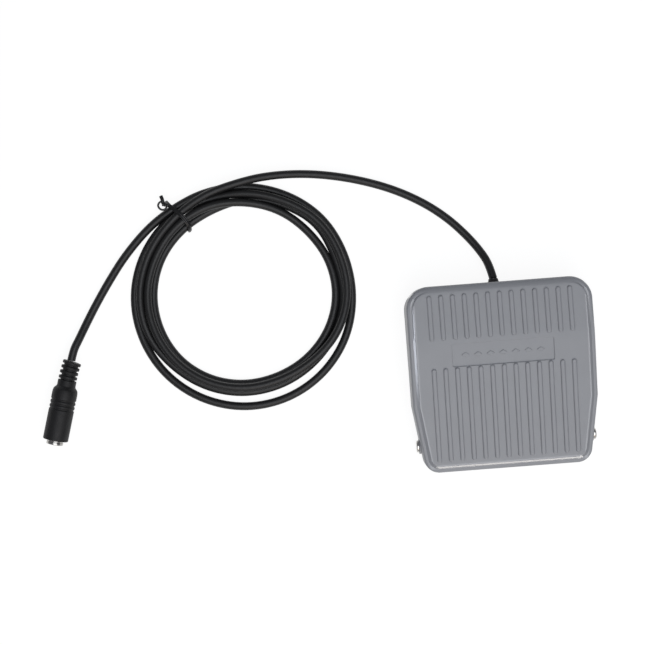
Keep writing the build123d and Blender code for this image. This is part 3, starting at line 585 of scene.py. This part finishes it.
def finish_tree(tree, geometry, material):
    """Ends a tree: smooth shading, real geometry and the material."""
    smooth = add_node(tree, "GeometryNodeSetShadeSmooth", {"Geometry": geometry})
    real = add_node(tree, "GeometryNodeRealizeInstances", {"Geometry": smooth.outputs[0]})
    coated = {"Geometry": real.outputs[0], "Material": material}
    painted = add_node(tree, "GeometryNodeSetMaterial", coated)
    add_node(tree, "NodeGroupOutput", {"Geometry": painted.outputs[0]})


def rings_tree():
    """Threads flex rings on a path, each square to it: the socket's strain relief."""
    tree, given = new_tree(
        "relief_rings",
        [
            ("Geometry", "NodeSocketGeometry", None),
            ("Rings", "NodeSocketInt", 4),
            ("Ring Radius", "NodeSocketFloat", 4.95 * MM),
            ("Ring Width", "NodeSocketFloat", 1.65 * MM),
            ("Ring Depth", "NodeSocketFloat", 2.6 * MM),
            ("Rounding", "NodeSocketFloat", 0.45 * MM),
            ("Material", "NodeSocketMaterial", None),
        ],
    )
    even = {"Curve": given["Geometry"], "Count": given["Rings"]}
    places = add_node(tree, "GeometryNodeCurveToPoints", even, mode="COUNT")
    block = {"Width": given["Ring Depth"], "Height": given["Ring Width"]}
    section = add_node(tree, "GeometryNodeCurvePrimitiveQuadrilateral", block)
    corner = {"Curve": section.outputs[0], "Radius": given["Rounding"], "Count": 4}
    corner["Limit Radius"] = True
    rounded = add_node(tree, "GeometryNodeFilletCurve", corner, mode="POLY")
    half_in = {0: given["Ring Depth"], 1: -0.5, 2: given["Ring Radius"]}
    middle = add_node(tree, "ShaderNodeMath", half_in, operation="MULTIPLY_ADD").outputs[0]
    wide = {"Resolution": 64, "Radius": middle}
    hoop = add_node(tree, "GeometryNodeCurvePrimitiveCircle", wide, mode="RADIUS")
    swept = {"Curve": hoop.outputs["Curve"], "Profile Curve": rounded.outputs["Curve"]}
    ring = add_node(tree, "GeometryNodeCurveToMesh", swept)
    copies = {"Points": places.outputs["Points"], "Instance": ring.outputs["Mesh"]}
    copies["Rotation"] = places.outputs["Rotation"]
    threaded = add_node(tree, "GeometryNodeInstanceOnPoints", copies)
    finish_tree(tree, threaded.outputs["Instances"], given["Material"])
    return tree


class MakeStage(bpy.types.Operator):
    """Camera, lamps, world and floor"""

    bl_idname = "foot_switch.stage"
    bl_label = "Stage"

    def execute(self, context):
        scene = context.scene
        scene.view_settings.view_transform = "Standard"
        eye = bpy.data.cameras.new("camera")
        eye.sensor_width = sensor_width
        eye.lens = sensor_width * focal_share
        eye.clip_end = camera_reach
        camera = bpy.data.objects.new("camera", eye)
        camera.location = [part * MM for part in camera_place]
        camera.rotation_euler = (0, 0, radians(camera_turn))
        scene.collection.objects.link(camera)
        scene.camera = camera
        self.make_lamps(scene)
        self.make_world(scene)
        self.make_floor(scene)
        return {"FINISHED"}

    def make_lamps(self, scene):
        """Softboxes above and in front, and two strips that only light the cover's edges."""
        # Name, place in millimetres, size in metres, watts, colour, and whether it fills the scene
        lamps = (
            ("front_box", (0, -560, 520), (0.6, 0.4), 1.2, "fff4ea", True),
            ("top_box", (30, -180, 930), (0.8, 0.8), 4.4, "f8fbff", True),
            ("front_strip", (70, -600, 45), (0.5, 0.1), 0.95, "fffaf4", False),
            ("left_strip", (-600, 0, 330), (0.4, 0.12), 0.9, "eef4ff", False),
        )
        edge_lit = bpy.data.collections.new("edge_lit")
        for name, place, size, power, colour, fills in lamps:
            lamp = bpy.data.lights.new(name, "AREA")
            lamp.shape = "RECTANGLE"
            lamp.size, lamp.size_y = size
            lamp.energy = power
            lamp.color = srgb(colour)[:3]
            holder = bpy.data.objects.new(name, lamp)
            holder.location = [part * MM for part in place]
            aim = Vector((0, 0, 0)) - holder.location
            holder.rotation_euler = aim.to_track_quat("-Z", "Y").to_euler()
            holder.visible_diffuse = fills
            if not fills:
                holder.light_linking.receiver_collection = edge_lit
            scene.collection.objects.link(holder)

    def seen_ray(self, tree):
        """One for the rays that see the white background: camera, glossy and transmission rays."""
        rays = add_node(tree, "ShaderNodeLightPath").outputs
        seen = rays["Is Camera Ray"]
        for kind in ("Is Glossy Ray", "Is Transmission Ray"):
            either = {0: seen, 1: rays[kind]}
            seen = add_node(tree, "ShaderNodeMath", either, operation="MAXIMUM").outputs[0]
        return seen

    def make_world(self, scene):
        """An even pale dome."""
        world = bpy.data.worlds.new("studio")
        scene.world = world
        world.use_nodes = True
        dome = world.node_tree.nodes["Background"]
        dome.inputs["Color"].default_value = srgb("f6f8ff")
        dome.inputs["Strength"].default_value = 0.22

    def make_floor(self, scene):
        """A plain white floor, made to glow so that it looks white and keeps a faint shadow."""
        material = bpy.data.materials.new("white_seamless_paper")
        material.use_nodes = True
        tree = material.node_tree
        tree.nodes.clear()
        paper = add_node(tree, "ShaderNodeBsdfDiffuse", {"Color": srgb("e6e6e6")})
        dim = add_node(tree, "ShaderNodeBsdfDiffuse", {"Color": srgb("787878")})
        glow = add_node(tree, "ShaderNodeEmission", {"Color": srgb("ffffff"), "Strength": 0.9})
        lit = add_node(tree, "ShaderNodeAddShader", {0: dim.outputs[0], 1: glow.outputs[0]})
        choice = {0: self.seen_ray(tree), 1: paper.outputs[0], 2: lit.outputs[0]}
        mixed = add_node(tree, "ShaderNodeMixShader", choice)
        add_node(tree, "ShaderNodeOutputMaterial", {"Surface": mixed.outputs[0]})
        reach = camera_reach / 2
        sheet = bpy.data.meshes.new("floor")
        corners = [(-reach, -reach, 0), (reach, -reach, 0), (reach, reach, 0), (-reach, reach, 0)]
        sheet.from_pydata(corners, [], [(0, 1, 2, 3)])
        sheet.materials.append(material)
        floor = bpy.data.objects.new("floor", sheet)
        scene.collection.objects.link(floor)


class MakeCable(bpy.types.Operator):
    """The one cable: lead, four turns of coil and tail"""

    bl_idname = "foot_switch.cable"
    bl_label = "Cable"

    def execute(self, context):
        jacket = black_rubber(
            "extruded_pvc_jacket", colours().cable, shade(colours().cable, 1.25), 0.42, 1.2, 0.003
        )
        set_gloss(jacket, 0.4)
        points = list(lead_route)
        for first, rows in coil_turns:
            for index, (radius, height) in enumerate(rows):
                angle = radians(coil_first_angle + coil_step * (first + index))
                x, y = radius * cos(angle), radius * sin(angle)
                points.append((coil_centre[0] + x, coil_centre[1] + y, height))
        points.extend(tail_route)
        before_socket = socket_start - socket_axis * 5.6
        points.extend([tuple(before_socket), tuple(socket_start)])
        curve = route_curve("cable", points, sizes().cable_diameter / 2, jacket, bevel_steps=6)
        cable = bpy.data.objects.new("cable", curve)
        context.scene.collection.objects.link(cable)
        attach(cable, "base")
        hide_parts("cable_lead", "cable_coil", "cable_tail")
        return {"FINISHED"}


class MakeTie(bpy.types.Operator):
    """The flat coated tie round the coil: its loop, the twist, a curled end and a stub"""

    bl_idname = "foot_switch.tie"
    bl_label = "Tie"

    def execute(self, context):
        coat = moulded_gloss("glossy_pvc_tie", srgb("101011"), srgb("1b1b1d"), 0.22)
        angle = radians(tie_angle)
        out = Vector((cos(angle), sin(angle), 0))
        along = Vector((-sin(angle), cos(angle), 0))
        centre = Vector((*coil_centre, 0))

        def places(rows):
            return [centre + out * r + along * a + Vector((0, 0, z)) for r, a, z in rows]

        width = sizes().tie_width / MM
        loop = round_line(places(tie_loop))
        curl = route_line(places(tie_curl))
        stub = route_line(places(tie_stub))
        twist = route_curve("twist", places(tie_twist), 0.0)
        strips = (
            ("twist_tie_loop", loop, [along] * len(loop), width, True, ["twist_tie"]),
            ("twist_tie_curl", curl, [Vector((0, 0, 1))] * len(curl), width * 0.8, False, []),
            ("twist_tie_end", stub, [along] * len(stub), width * 0.9, False, []),
        )
        for name, line, sides, across, closed, replaced in strips:
            strip = ribbon(name, line, sides, across, closed)
            link_piece(name, strip, coat, "base", replaced)
        wound = helix_tree()
        for name, start in (("twist_tie_strand_a", 0.0), ("twist_tie_strand_b", pi)):
            strand = run_tree(
                name,
                wound,
                twist.copy(),
                {
                    "Turns": 1.5,
                    "Winding Radius": 0.55 * MM,
                    "Wire Radius": 0.6 * MM,
                    "Start Angle": start,
                    "Steps": 60,
                    "Material": coat,
                },
            )
            link_piece(name, strand, None, "base")
        return {"FINISHED"}


class MakeSocket(bpy.types.Operator):
    """The moulded inline socket: relief rings, collar, barrel and plated nose"""

    bl_idname = "foot_switch.socket"
    bl_label = "Socket"

    def execute(self, context):
        black, worn_black = srgb("121213"), srgb("1a1a1c")
        body = black_rubber("moulded_pvc_overmould", black, worn_black, 0.55, 0.6, 0.015)
        set_gloss(body, 0.35)
        plate = plated_metal(
            "bright_nickel_plate", srgb("bfbdb9"), srgb("a9a7a4"), 0.16, 0.12, (1.0, 1.0, 1.0)
        )
        self.make_barrel(body)
        relief = self.relief_route()
        self.make_neck(relief, body)
        ring_path = route_curve("socket_rings", self.ring_route(relief), 0.0)
        values = {"Rings": sizes().relief_rings, "Material": body}
        rings = run_tree("socket_rings", rings_tree(), ring_path, values)
        link_piece("socket_rings", rings, None, "base")
        self.make_nose(plate)
        insulator = moulded_gloss("moulded_pbt_insulator", srgb("202021"), srgb("2a2a2b"), 0.4)
        brass = plated_metal(
            "rolled_brass_contact", srgb("d9b770"), srgb("c9a55f"), 0.3, 0.2, (1, 1, 1)
        )
        dress_node("socket_insulator", insulator)
        dress_node("tip_contact", brass)
        return {"FINISHED"}

    def make_barrel(self, body):
        """The collar, the barrel with its three grip grooves, and the nose's pocket."""
        collar_start, collar_radius = relief_end - 0.6, 4.95
        mouth, pocket = 43.7, 26.1
        grooves = []
        for start in (21.6, 23.9, 26.2):
            grooves += [
                (start, groove_floor, 0.2),
                (start + 0.6, groove_floor, 0.2),
                (start + 0.9, socket_radius, 0.35),
                (start + 2.0, socket_radius, 0.35),
            ]
        profile = round_corners(
            [
                (collar_start, 0.0, 0.0),
                (collar_start, collar_radius, 0.4),
                (14.0, collar_radius, 0.5),
                (14.6, 5.3, 0.3),
                (15.6, 6.35, 0.9),
                (17.3, socket_radius, 1.2),
                (21.35, socket_radius, 0.25),
                *grooves[:-2],
                (27.1, socket_radius, 0.25),
                (mouth, socket_radius, 0.6),
                (mouth, nose_radius, 0.2),
                (pocket, nose_radius, 0.0),
                (pocket, 0.0, 0.0),
            ]
        )
        mesh = turned_mesh("socket_barrel", profile, socket_start, socket_axis, closed=False)
        smooth_faces(mesh, 35)
        link_piece("socket_barrel", mesh, body, "base", ["connector_overmould"])

    def make_neck(self, relief, body):
        """The bent neck that carries the flex rings."""
        neck = route_curve("socket_neck", relief, 3.9 * MM)
        holder = bpy.data.objects.new("socket_neck", neck)
        mesh = bpy.data.meshes.new_from_object(holder)
        bpy.data.objects.remove(holder)
        mesh.name = "socket_neck"
        smooth_faces(mesh, 40)
        link_piece("socket_neck", mesh, body, "base")

    def make_nose(self, plate):
        """The plated sleeve, with a turned line near its lip and a dished mouth."""
        seat, line, lip = 33.1, 44.2, 46.1
        profile = round_corners(
            [
                (seat, nose_bore, 0.0),
                (seat, nose_radius, 0.0),
                (line, nose_radius, 0.1),
                (line + 0.1, nose_radius - 0.25, 0.08),
                (line + 0.5, nose_radius - 0.25, 0.08),
                (line + 0.6, nose_radius, 0.1),
                (lip, nose_radius, 0.35),
                (lip, 2.5, 0.1),
                (lip - 0.8, nose_bore, 0.1),
                (seat, nose_bore, 0.0),
            ]
        )
        sleeve = turned_mesh("socket_nose_sleeve", profile[:-1], socket_start, socket_axis)
        smooth_faces(sleeve, 35)
        link_piece("socket_nose_sleeve", sleeve, plate, "base", ["socket_nose"])

    def ring_route(self, relief):
        """The part of the relief's line that the rings' middles lie on."""
        start, middle, end = [Vector(place) for place in relief]
        first = start + (middle - start).normalized() * 0.75
        last = end - (end - middle).normalized() * 2.1
        return [tuple(first), tuple(middle), tuple(last)]

    def relief_route(self):
        """The relief's bent line, from the cable's direction to the barrel's axis."""
        bend = radians(-7.0)
        stretch = 5.4
        end = socket_start + socket_axis * relief_end
        direction = Matrix.Rotation(bend, 3, "Z") @ socket_axis
        middle = end - socket_axis * stretch
        start = middle - direction * stretch
        return [tuple(start), tuple(middle), tuple(end)]


class MakeCover(bpy.types.Operator):
    """The moulded pedal cover"""

    bl_idname = "foot_switch.cover"
    bl_label = "Cover"

    def execute(self, context):
        abs_grey = moulded_abs(
            "moulded_abs_cover", colours().cover, shade(colours().cover, 0.97), 0.4, 0.6, 0.004
        )
        self.polish_step(abs_grey)
        cover = moulded_copy(
            "pedal_cover", "cover_moulding", abs_grey, "pedal", worked=self.soften
        )
        bpy.data.collections["edge_lit"].objects.link(cover)
        return {"FINISHED"}

    def polish_step(self, material):
        """Shoes polish the tread's edge: a glossier band on its step takes a line of light."""
        tree = material.node_tree
        place = add_node(tree, "ShaderNodeTexCoord").outputs["Object"]
        slant = atan2(half_width - front_half_width, taper_y + half_length)
        taper_reach = half_width * cos(slant) - taper_y * sin(slant)
        walls = ((0.0, half_width), (slant, taper_reach), (pi / 2, half_length))
        # How far a point lies outside the outline's sides, tapered sides and front
        outside = -1.0
        for side in (-1, 1):
            for turn, reach in walls:
                facing = {0: place, 1: (side * cos(turn), -sin(turn), 0.0)}
                along = add_node(tree, "ShaderNodeVectorMath", facing, operation="DOT_PRODUCT")
                away = {0: along.outputs["Value"], 1: reach * MM}
                beyond = add_node(tree, "ShaderNodeMath", away, operation="SUBTRACT").outputs[0]
                both = {0: outside, 1: beyond}
                outside = add_node(tree, "ShaderNodeMath", both, operation="MAXIMUM").outputs[0]
        # The band lies between these two insets from the outline, and fades in over its edges
        edges = []
        for start, full in ((-4.5, -4.1), (-2.0, -2.4)):
            inset = {"Value": outside, "From Min": start * MM, "From Max": full * MM}
            edges.append(add_node(tree, "ShaderNodeMapRange", inset).outputs["Result"])
        both = {0: edges[0], 1: edges[1]}
        band = add_node(tree, "ShaderNodeMath", both, operation="MULTIPLY").outputs[0]
        shader = tree.nodes["Principled BSDF"]
        for name, change in (("Roughness", -0.24), ("Specular IOR Level", 0.4)):
            socket = shader.inputs[name]
            plain = socket.links[0].from_socket if socket.links else socket.default_value
            worn = {0: band, 1: change, 2: plain}
            polished = add_node(tree, "ShaderNodeMath", worn, operation="MULTIPLY_ADD")
            tree.links.new(polished.outputs[0], socket)

    def ease_rear(self, shell):
        """Rolls the tread off to the rear rim, fading to the stepped shoulder at each corner."""
        roll_width, roll_drop = 4.6, 3.1
        flat_reach, skirt_top = 8.1, 26.0
        fade_angle = radians(50)
        corner_x, corner_y = half_width - rear_corner_radius, half_length - rear_corner_radius
        for vertex in shell.verts:
            place = vertex.co / MM
            side, ahead = max(0.0, abs(place.x) - corner_x), place.y - corner_y
            reach = hypot(side, ahead)
            if ahead < 0 or reach < flat_reach or place.z < skirt_top:
                continue
            turn = min(1.0, atan2(side, ahead) / fade_angle)
            share = 1 - turn * turn * (3 - 2 * turn)
            along = (reach - rear_corner_radius + roll_width) / roll_width
            rolled = tread_height - roll_drop + roll_drop * sqrt(max(0.0, 1 - along**2))
            vertex.co.z += (rolled - place.z) * share * MM
        bmesh.ops.remove_doubles(shell, verts=shell.verts, dist=1e-6)

    def tread_fall(self, y):
        """How far the tread lies below its rear part: level, a rounded knee, then the slope."""
        if abs(y - knee_y) < knee_reach:
            return (knee_y + knee_reach - y) ** 2 / (2 * knee_radius)
        return max(0.0, knee_y - y) * tan(radians(tread_slope))

    def widen_step(self, shell):
        """Leans the step below the tread into a flat bevel that takes a line of light."""
        shell.normal_update()
        bevel_width, rear_end, fade_length = 1.7, 40, 10
        moves = []
        for vertex in shell.verts:
            place = vertex.co / MM
            # The rear is rolled off instead, and the label panel's own edges stay
            if place.y > rear_end or (abs(place.x) < 28 and 5 < place.y < 20):
                continue
            depth = tread_height - self.tread_fall(place.y) - place.z
            level = hypot(vertex.normal.x, vertex.normal.y)
            on_skirt = depth > 1.05 and vertex.normal.z < 0.2
            if not 0.02 < depth < 1.2 or level < 0.1 or on_skirt:
                continue
            turn = acos(max(0.0, 1 - depth))
            share = turn / (pi / 2)
            out = Vector((vertex.normal.x, vertex.normal.y, 0)) / level
            fade = min(1.0, (rear_end - place.y) / fade_length)
            move = out * (bevel_width * share - sin(turn))
            move += Vector((0, 0, depth - shoulder_drop * share))
            moves.append((vertex, move * fade * MM))
        for vertex, move in moves:
            vertex.co += move

    def soften(self, shell):
        """Eases the tread's step, and rounds the label panel's edges."""
        self.widen_step(shell)
        self.ease_rear(shell)
        reach_x, reach_y = (panel_half_width + 0.6) * MM, (panel_half_length + 0.55) * MM
        inside = [
            v for v in shell.verts if abs(v.co.x) < reach_x and abs(v.co.y - panel_y * MM) < reach_y
        ]
        top = max(v.co.z for v in inside)
        near = {v for v in inside if v.co.z > top - 3 * MM}
        edges = []
        for edge in shell.edges:
            if not near.issuperset(edge.verts) or len(edge.link_faces) != 2:
                continue
            level = abs(edge.verts[0].co.z - edge.verts[1].co.z) < 0.3 * edge.calc_length()
            if level and edge.is_convex and edge.calc_face_angle() > radians(40):
                edges.append(edge)
        bmesh.ops.bevel(
            shell, geom=edges, offset=0.2 * MM, offset_type="OFFSET", segments=4, profile=0.5,
            affect="EDGES", clamp_overlap=True,
        )


class MakeBase(bpy.types.Operator):
    """The base tray, its mat, the grommet and the hinge pin"""

    bl_idname = "foot_switch.base"
    bl_label = "Base"

    def execute(self, context):
        abs_dark = moulded_abs(
            "moulded_abs_base", colours().base, shade(colours().base, 0.93), 0.55, 0.6, 0.02
        )
        mat = black_rubber("pressed_nitrile_mat", srgb("232324"), srgb("2f2f30"), 0.75, 0.5, 0.03)
        collar = black_rubber(
            "moulded_rubber_grommet", srgb("1c1c1d"), srgb("262627"), 0.6, 0.4, 0.01
        )
        pin = plated_metal(
            "nickel_plated_steel_pin", srgb("d6d4d0"), srgb("c2c0bd"), 0.2, 0.15, (1.0, 1.0, 1.0)
        )
        moulded_copy("base_tray", "base_moulding", abs_dark, "base")
        moulded_copy("anti_slip_mat", "floor_mat", mat, "base")
        sleeve = self.grommet_sleeve(sizes().cable_diameter / MM / 2)
        link_piece("grommet_sleeve", sleeve, collar, "base", ["cable_grommet"])
        moulded_copy("hinge_pin", "pin_with_head", pin, "base", 50)
        moulded_copy("hinge_pin_cap", "pin_push_cap", pin, "base", 50)
        return {"FINISHED"}

    def grommet_sleeve(self, bore):
        """The grommet: a flange inside the wall, a body through it and a slim lip outside."""
        low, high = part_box("cable_grommet")
        length = (high[1] - low[1]) / MM
        flange = (high[0] - low[0]) / MM / 2 * 0.95
        body, lip, end = bore + 1.1, bore + 0.3, length - 0.4
        corners = [
            (0.0, bore, 0.0),
            (0.0, flange, 0.2),
            (1.0, flange, 0.2),
            (1.1, body, 0.0),
            (length * 0.6, body, 0.3),
            (end, lip, 0.1),
            (end, bore, 0.0),
        ]
        start = Vector((0.0, low[1] / MM, (low[2] + high[2]) / 2 / MM))
        mesh = turned_mesh("grommet_sleeve", round_corners(corners), start, Vector((0, 1, 0)))
        smooth_faces(mesh, 40)
        return mesh


class MakeSprings(bpy.types.Operator):
    """The two return springs, which the cover presses shorter; here they are built at rest"""

    bl_idname = "foot_switch.springs"
    bl_label = "Springs"

    def execute(self, context):
        wire = plated_metal(
            "zinc_plated_music_wire", srgb("c4c6c9"), srgb("acaeb1"), 0.3, 0.2, (1, 1, 1)
        )
        tree = helix_tree()
        base_height, seat_height, wire_radius = 4.0, 20.0, 0.45
        spring_y, spring_x = 14.0, 27.0
        for name, side in (("return_spring_left", -1), ("return_spring_right", 1)):
            low = (side * spring_x, spring_y, base_height + wire_radius)
            high = (side * spring_x, spring_y, seat_height - wire_radius)
            middle = [(a + b) / 2 for a, b in zip(low, high)]
            mesh = run_tree(
                name + "_coil",
                tree,
                route_curve(name, [low, middle, high], 0.0),
                {"Turns": sizes().spring_turns, "Material": wire},
            )
            spring = link_piece(name + "_coil", mesh, None, "base", [name])
            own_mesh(spring)
        return {"FINISHED"}


class MakeMechanism(bpy.types.Operator):
    """The snap switch, its lever and terminals, the clamp, screws and wires inside"""

    bl_idname = "foot_switch.mechanism"
    bl_label = "Mechanism"

    def execute(self, context):
        case = moulded_gloss("moulded_phenolic_case", srgb("1f1f20"), srgb("29292a"), 0.45)
        button = moulded_gloss("moulded_acetal_plunger", srgb("b02a22"), srgb("9c221c"), 0.35)
        sheet, tin, zinc = (
            plated_metal(name, srgb(first), srgb(second), roughness, 0.2, stretch)
            for name, first, second, roughness, stretch in (
                ("rolled_stainless_lever", "cfd0d1", "b9babc", 0.28, (1, 8, 1)),
                ("tinned_brass_terminal", "d5d2c6", "c2bfb3", 0.35, (1, 1, 6)),
                ("zinc_plated_screw", "c7c9cc", "b3b5b9", 0.3, (1, 1, 1)),
            )
        )
        saddle = moulded_abs("moulded_abs_clamp", srgb("6a6c70"), srgb("626468"), 0.55, 0.6, 0.02)
        jacket = black_rubber(
            "extruded_pvc_inner_end", srgb("1d1d1e"), srgb("262628"), 0.4, 0.5, 0.01
        )
        white = moulded_gloss("extruded_white_wire", srgb("e2e0dc"), srgb("d8d6d2"), 0.4)
        red = moulded_gloss("extruded_red_wire", srgb("b3231c"), srgb("a01e18"), 0.4)
        for node, material in (
            ("switch_case", case),
            ("switch_plunger", button),
            ("switch_lever", sheet),
            ("terminal_common", tin),
            ("terminal_normally_open", tin),
            ("terminal_normally_closed", tin),
            ("switch_screws", zinc),
            ("clamp_screws", zinc),
            ("cable_clamp", saddle),
            ("cable_inner_end", jacket),
            ("wire_common", white),
            ("wire_normally_open", red),
        ):
            dress_node(node, material)
        return {"FINISHED"}


class DeclareCord(bpy.types.Operator):
    """Takes no step: the cable is not declared as a cord here"""

    bl_idname = "foot_switch.cord"
    bl_label = "Declare the cord"

    def execute(self, context):
        return {"FINISHED"}


class FootSwitchPanel(bpy.types.Panel):
    """Lists the sizes, the colours and each piece's button"""

    bl_idname = "FOOT_SWITCH_PT_pieces"
    bl_label = "Foot switch"
    bl_space_type = "VIEW_3D"
    bl_region_type = "UI"
    bl_category = "Foot switch"

    def draw(self, context):
        for group in (sizes(), colours()):
            for name in group.bl_rna.properties.keys():
                if name not in ("rna_type", "name"):
                    self.layout.prop(group, name)
        for operator in PIECES:
            self.layout.operator(operator.bl_idname)


PIECES = (
    MakeStage,
    MakeCable,
    MakeTie,
    MakeSocket,
    MakeCover,
    MakeBase,
    MakeSprings,
    MakeMechanism,
    DeclareCord,
)
CLASSES = (FootSwitchSizes, FootSwitchColours, *PIECES, FootSwitchPanel)


def register():
    for kind in CLASSES:
        bpy.utils.register_class(kind)
    bpy.types.Scene.foot_switch_sizes = bpy.props.PointerProperty(type=FootSwitchSizes)
    bpy.types.Scene.foot_switch_colours = bpy.props.PointerProperty(type=FootSwitchColours)


def unregister():
    del bpy.types.Scene.foot_switch_colours
    del bpy.types.Scene.foot_switch_sizes
    for kind in reversed(CLASSES):
        bpy.utils.unregister_class(kind)


def main():
    register()
    bpy.ops.foot_switch.stage()
    bpy.ops.foot_switch.cable()
    bpy.ops.foot_switch.tie()
    bpy.ops.foot_switch.socket()
    bpy.ops.foot_switch.cover()
    bpy.ops.foot_switch.base()
    bpy.ops.foot_switch.springs()
    bpy.ops.foot_switch.mechanism()
    bpy.ops.foot_switch.cord()


if __name__ == "__main__":
    main()
